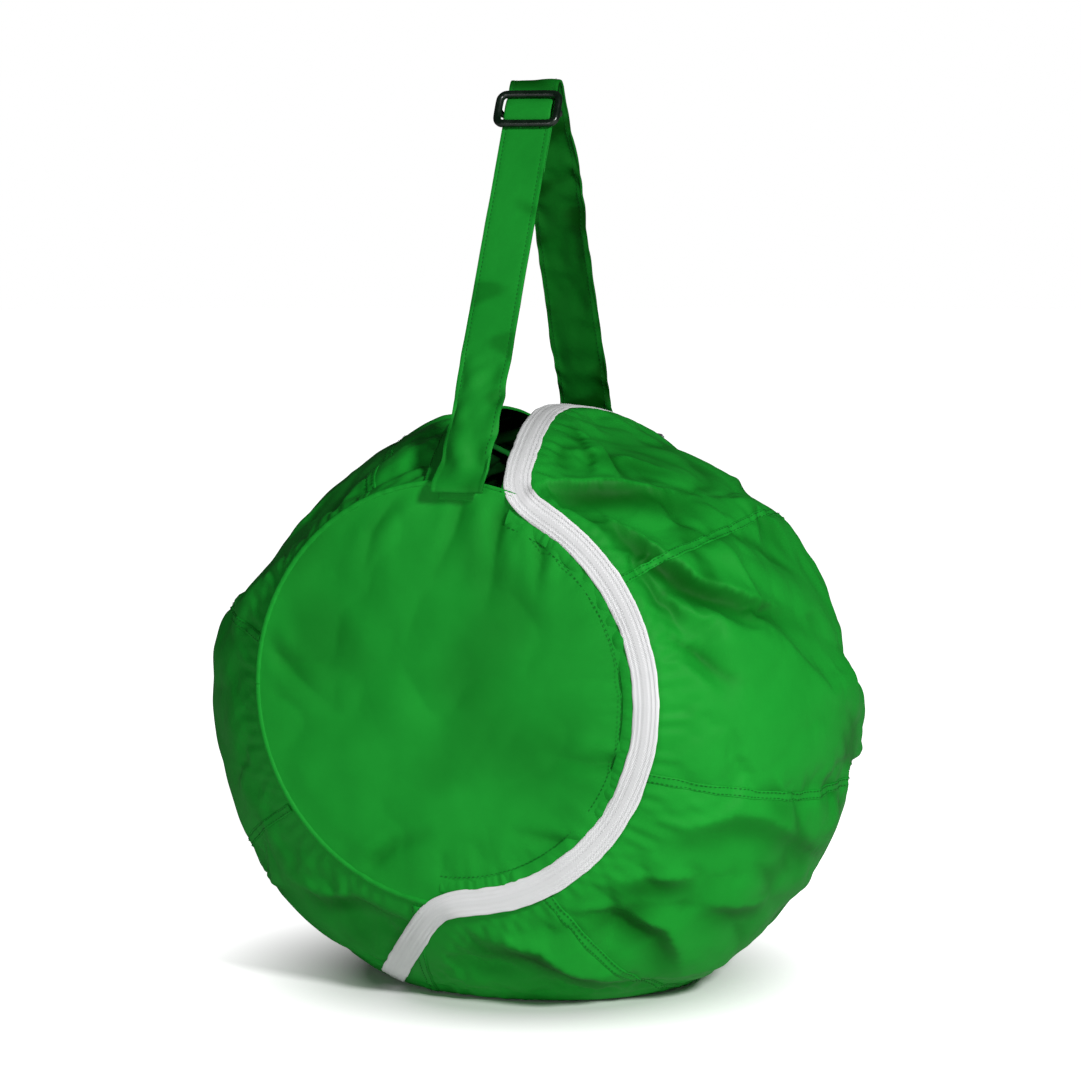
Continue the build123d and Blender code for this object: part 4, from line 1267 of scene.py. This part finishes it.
def make_floor():
    """Pale floor with painted light: it glows for camera rays, rising to white away from the bag, so that
    only its contact shadow shows.
    """
    material, nodes, links, shader = new_material("pale_floor")
    shader.inputs["Base Color"].default_value = colour(0.9, 0.9, 0.9)
    shader.inputs["Roughness"].default_value = 0.9
    shader.inputs["Specular IOR Level"].default_value = 0.0
    shader.inputs["Emission Color"].default_value = colour(1, 1, 1)
    coords = add_node(nodes, "ShaderNodeTexCoord").outputs["Object"]
    reach = add_node(nodes, "ShaderNodeVectorMath", operation="LENGTH")
    links.new(coords, reach.inputs[0])
    glow = add_node(nodes, "ShaderNodeMapRange", From_Min=0.13, From_Max=0.27, To_Min=0.0, To_Max=1.05)
    links.new(reach.outputs["Value"], glow.inputs["Value"])
    seen = add_node(nodes, "ShaderNodeLightPath")
    strength = math_node(nodes, links, "MULTIPLY", glow.outputs["Result"], seen.outputs["Is Camera Ray"])
    links.new(strength, shader.inputs["Emission Strength"])
    mesh = bmesh.new()
    bmesh.ops.create_circle(mesh, cap_ends=True, segments=96, radius=14)
    data = bpy.data.meshes.new("studio_floor")
    mesh.to_mesh(data)
    mesh.free()
    floor = bpy.data.objects.new("studio_floor", data)
    bpy.context.scene.collection.objects.link(floor)
    data.materials.append(material)
    floor.location.z = -0.0005


def make_studio():
    make_floor()
    world = bpy.data.worlds.new("studio")
    bpy.context.scene.world = world
    world.use_nodes = True
    tree = world.node_tree
    sky = tree.nodes["Background"]
    sky.inputs["Color"].default_value = colour(1, 1, 1)
    sky.inputs["Strength"].default_value = 0.055
    bright = tree.nodes.new("ShaderNodeBackground")
    bright.inputs["Color"].default_value = colour(1, 1, 1)
    bright.inputs["Strength"].default_value = 1.0
    seen = tree.nodes.new("ShaderNodeLightPath")
    mix = tree.nodes.new("ShaderNodeMixShader")
    tree.links.new(seen.outputs["Is Camera Ray"], mix.inputs["Fac"])
    tree.links.new(sky.outputs[0], mix.inputs[1])
    tree.links.new(bright.outputs[0], mix.inputs[2])
    tree.links.new(mix.outputs[0], tree.nodes["World Output"].inputs["Surface"])

    middle = (0, 0, 0.25)
    add_area_light("key", (2.10, -1.60, 1.65), middle, size=0.45, power=76)
    add_area_light("front_fill", (-0.1, -2.8, 0.5), middle, size=1.0, power=13)


def add_camera():
    azimuth, elevation, distance = radians(21.8), radians(6.0), 2.6
    back = Vector((sin(azimuth) * cos(elevation), -cos(azimuth) * cos(elevation), sin(elevation)))
    right = Vector((cos(azimuth), sin(azimuth), 0))
    up = back.cross(right)
    aim = Vector((0, 0, 0.330)) + right * 0.0030 + up * 0.0043
    data = bpy.data.cameras.new("view")
    data.lens = 113.2
    data.sensor_width = 36
    camera = bpy.data.objects.new("view", data)
    turned = Matrix((right, up, back)).transposed().to_4x4()
    camera.matrix_world = Matrix.Translation(aim + back * distance) @ turned
    bpy.context.scene.collection.objects.link(camera)
    bpy.context.scene.camera = camera


make_gores()
make_gore_seams()
make_discs()
make_mouth_hems()
make_zip()
make_strap()
make_slider()
finish_inner_nodes()
make_studio()
add_camera()
bpy.context.scene.view_settings.view_transform = "Standard"
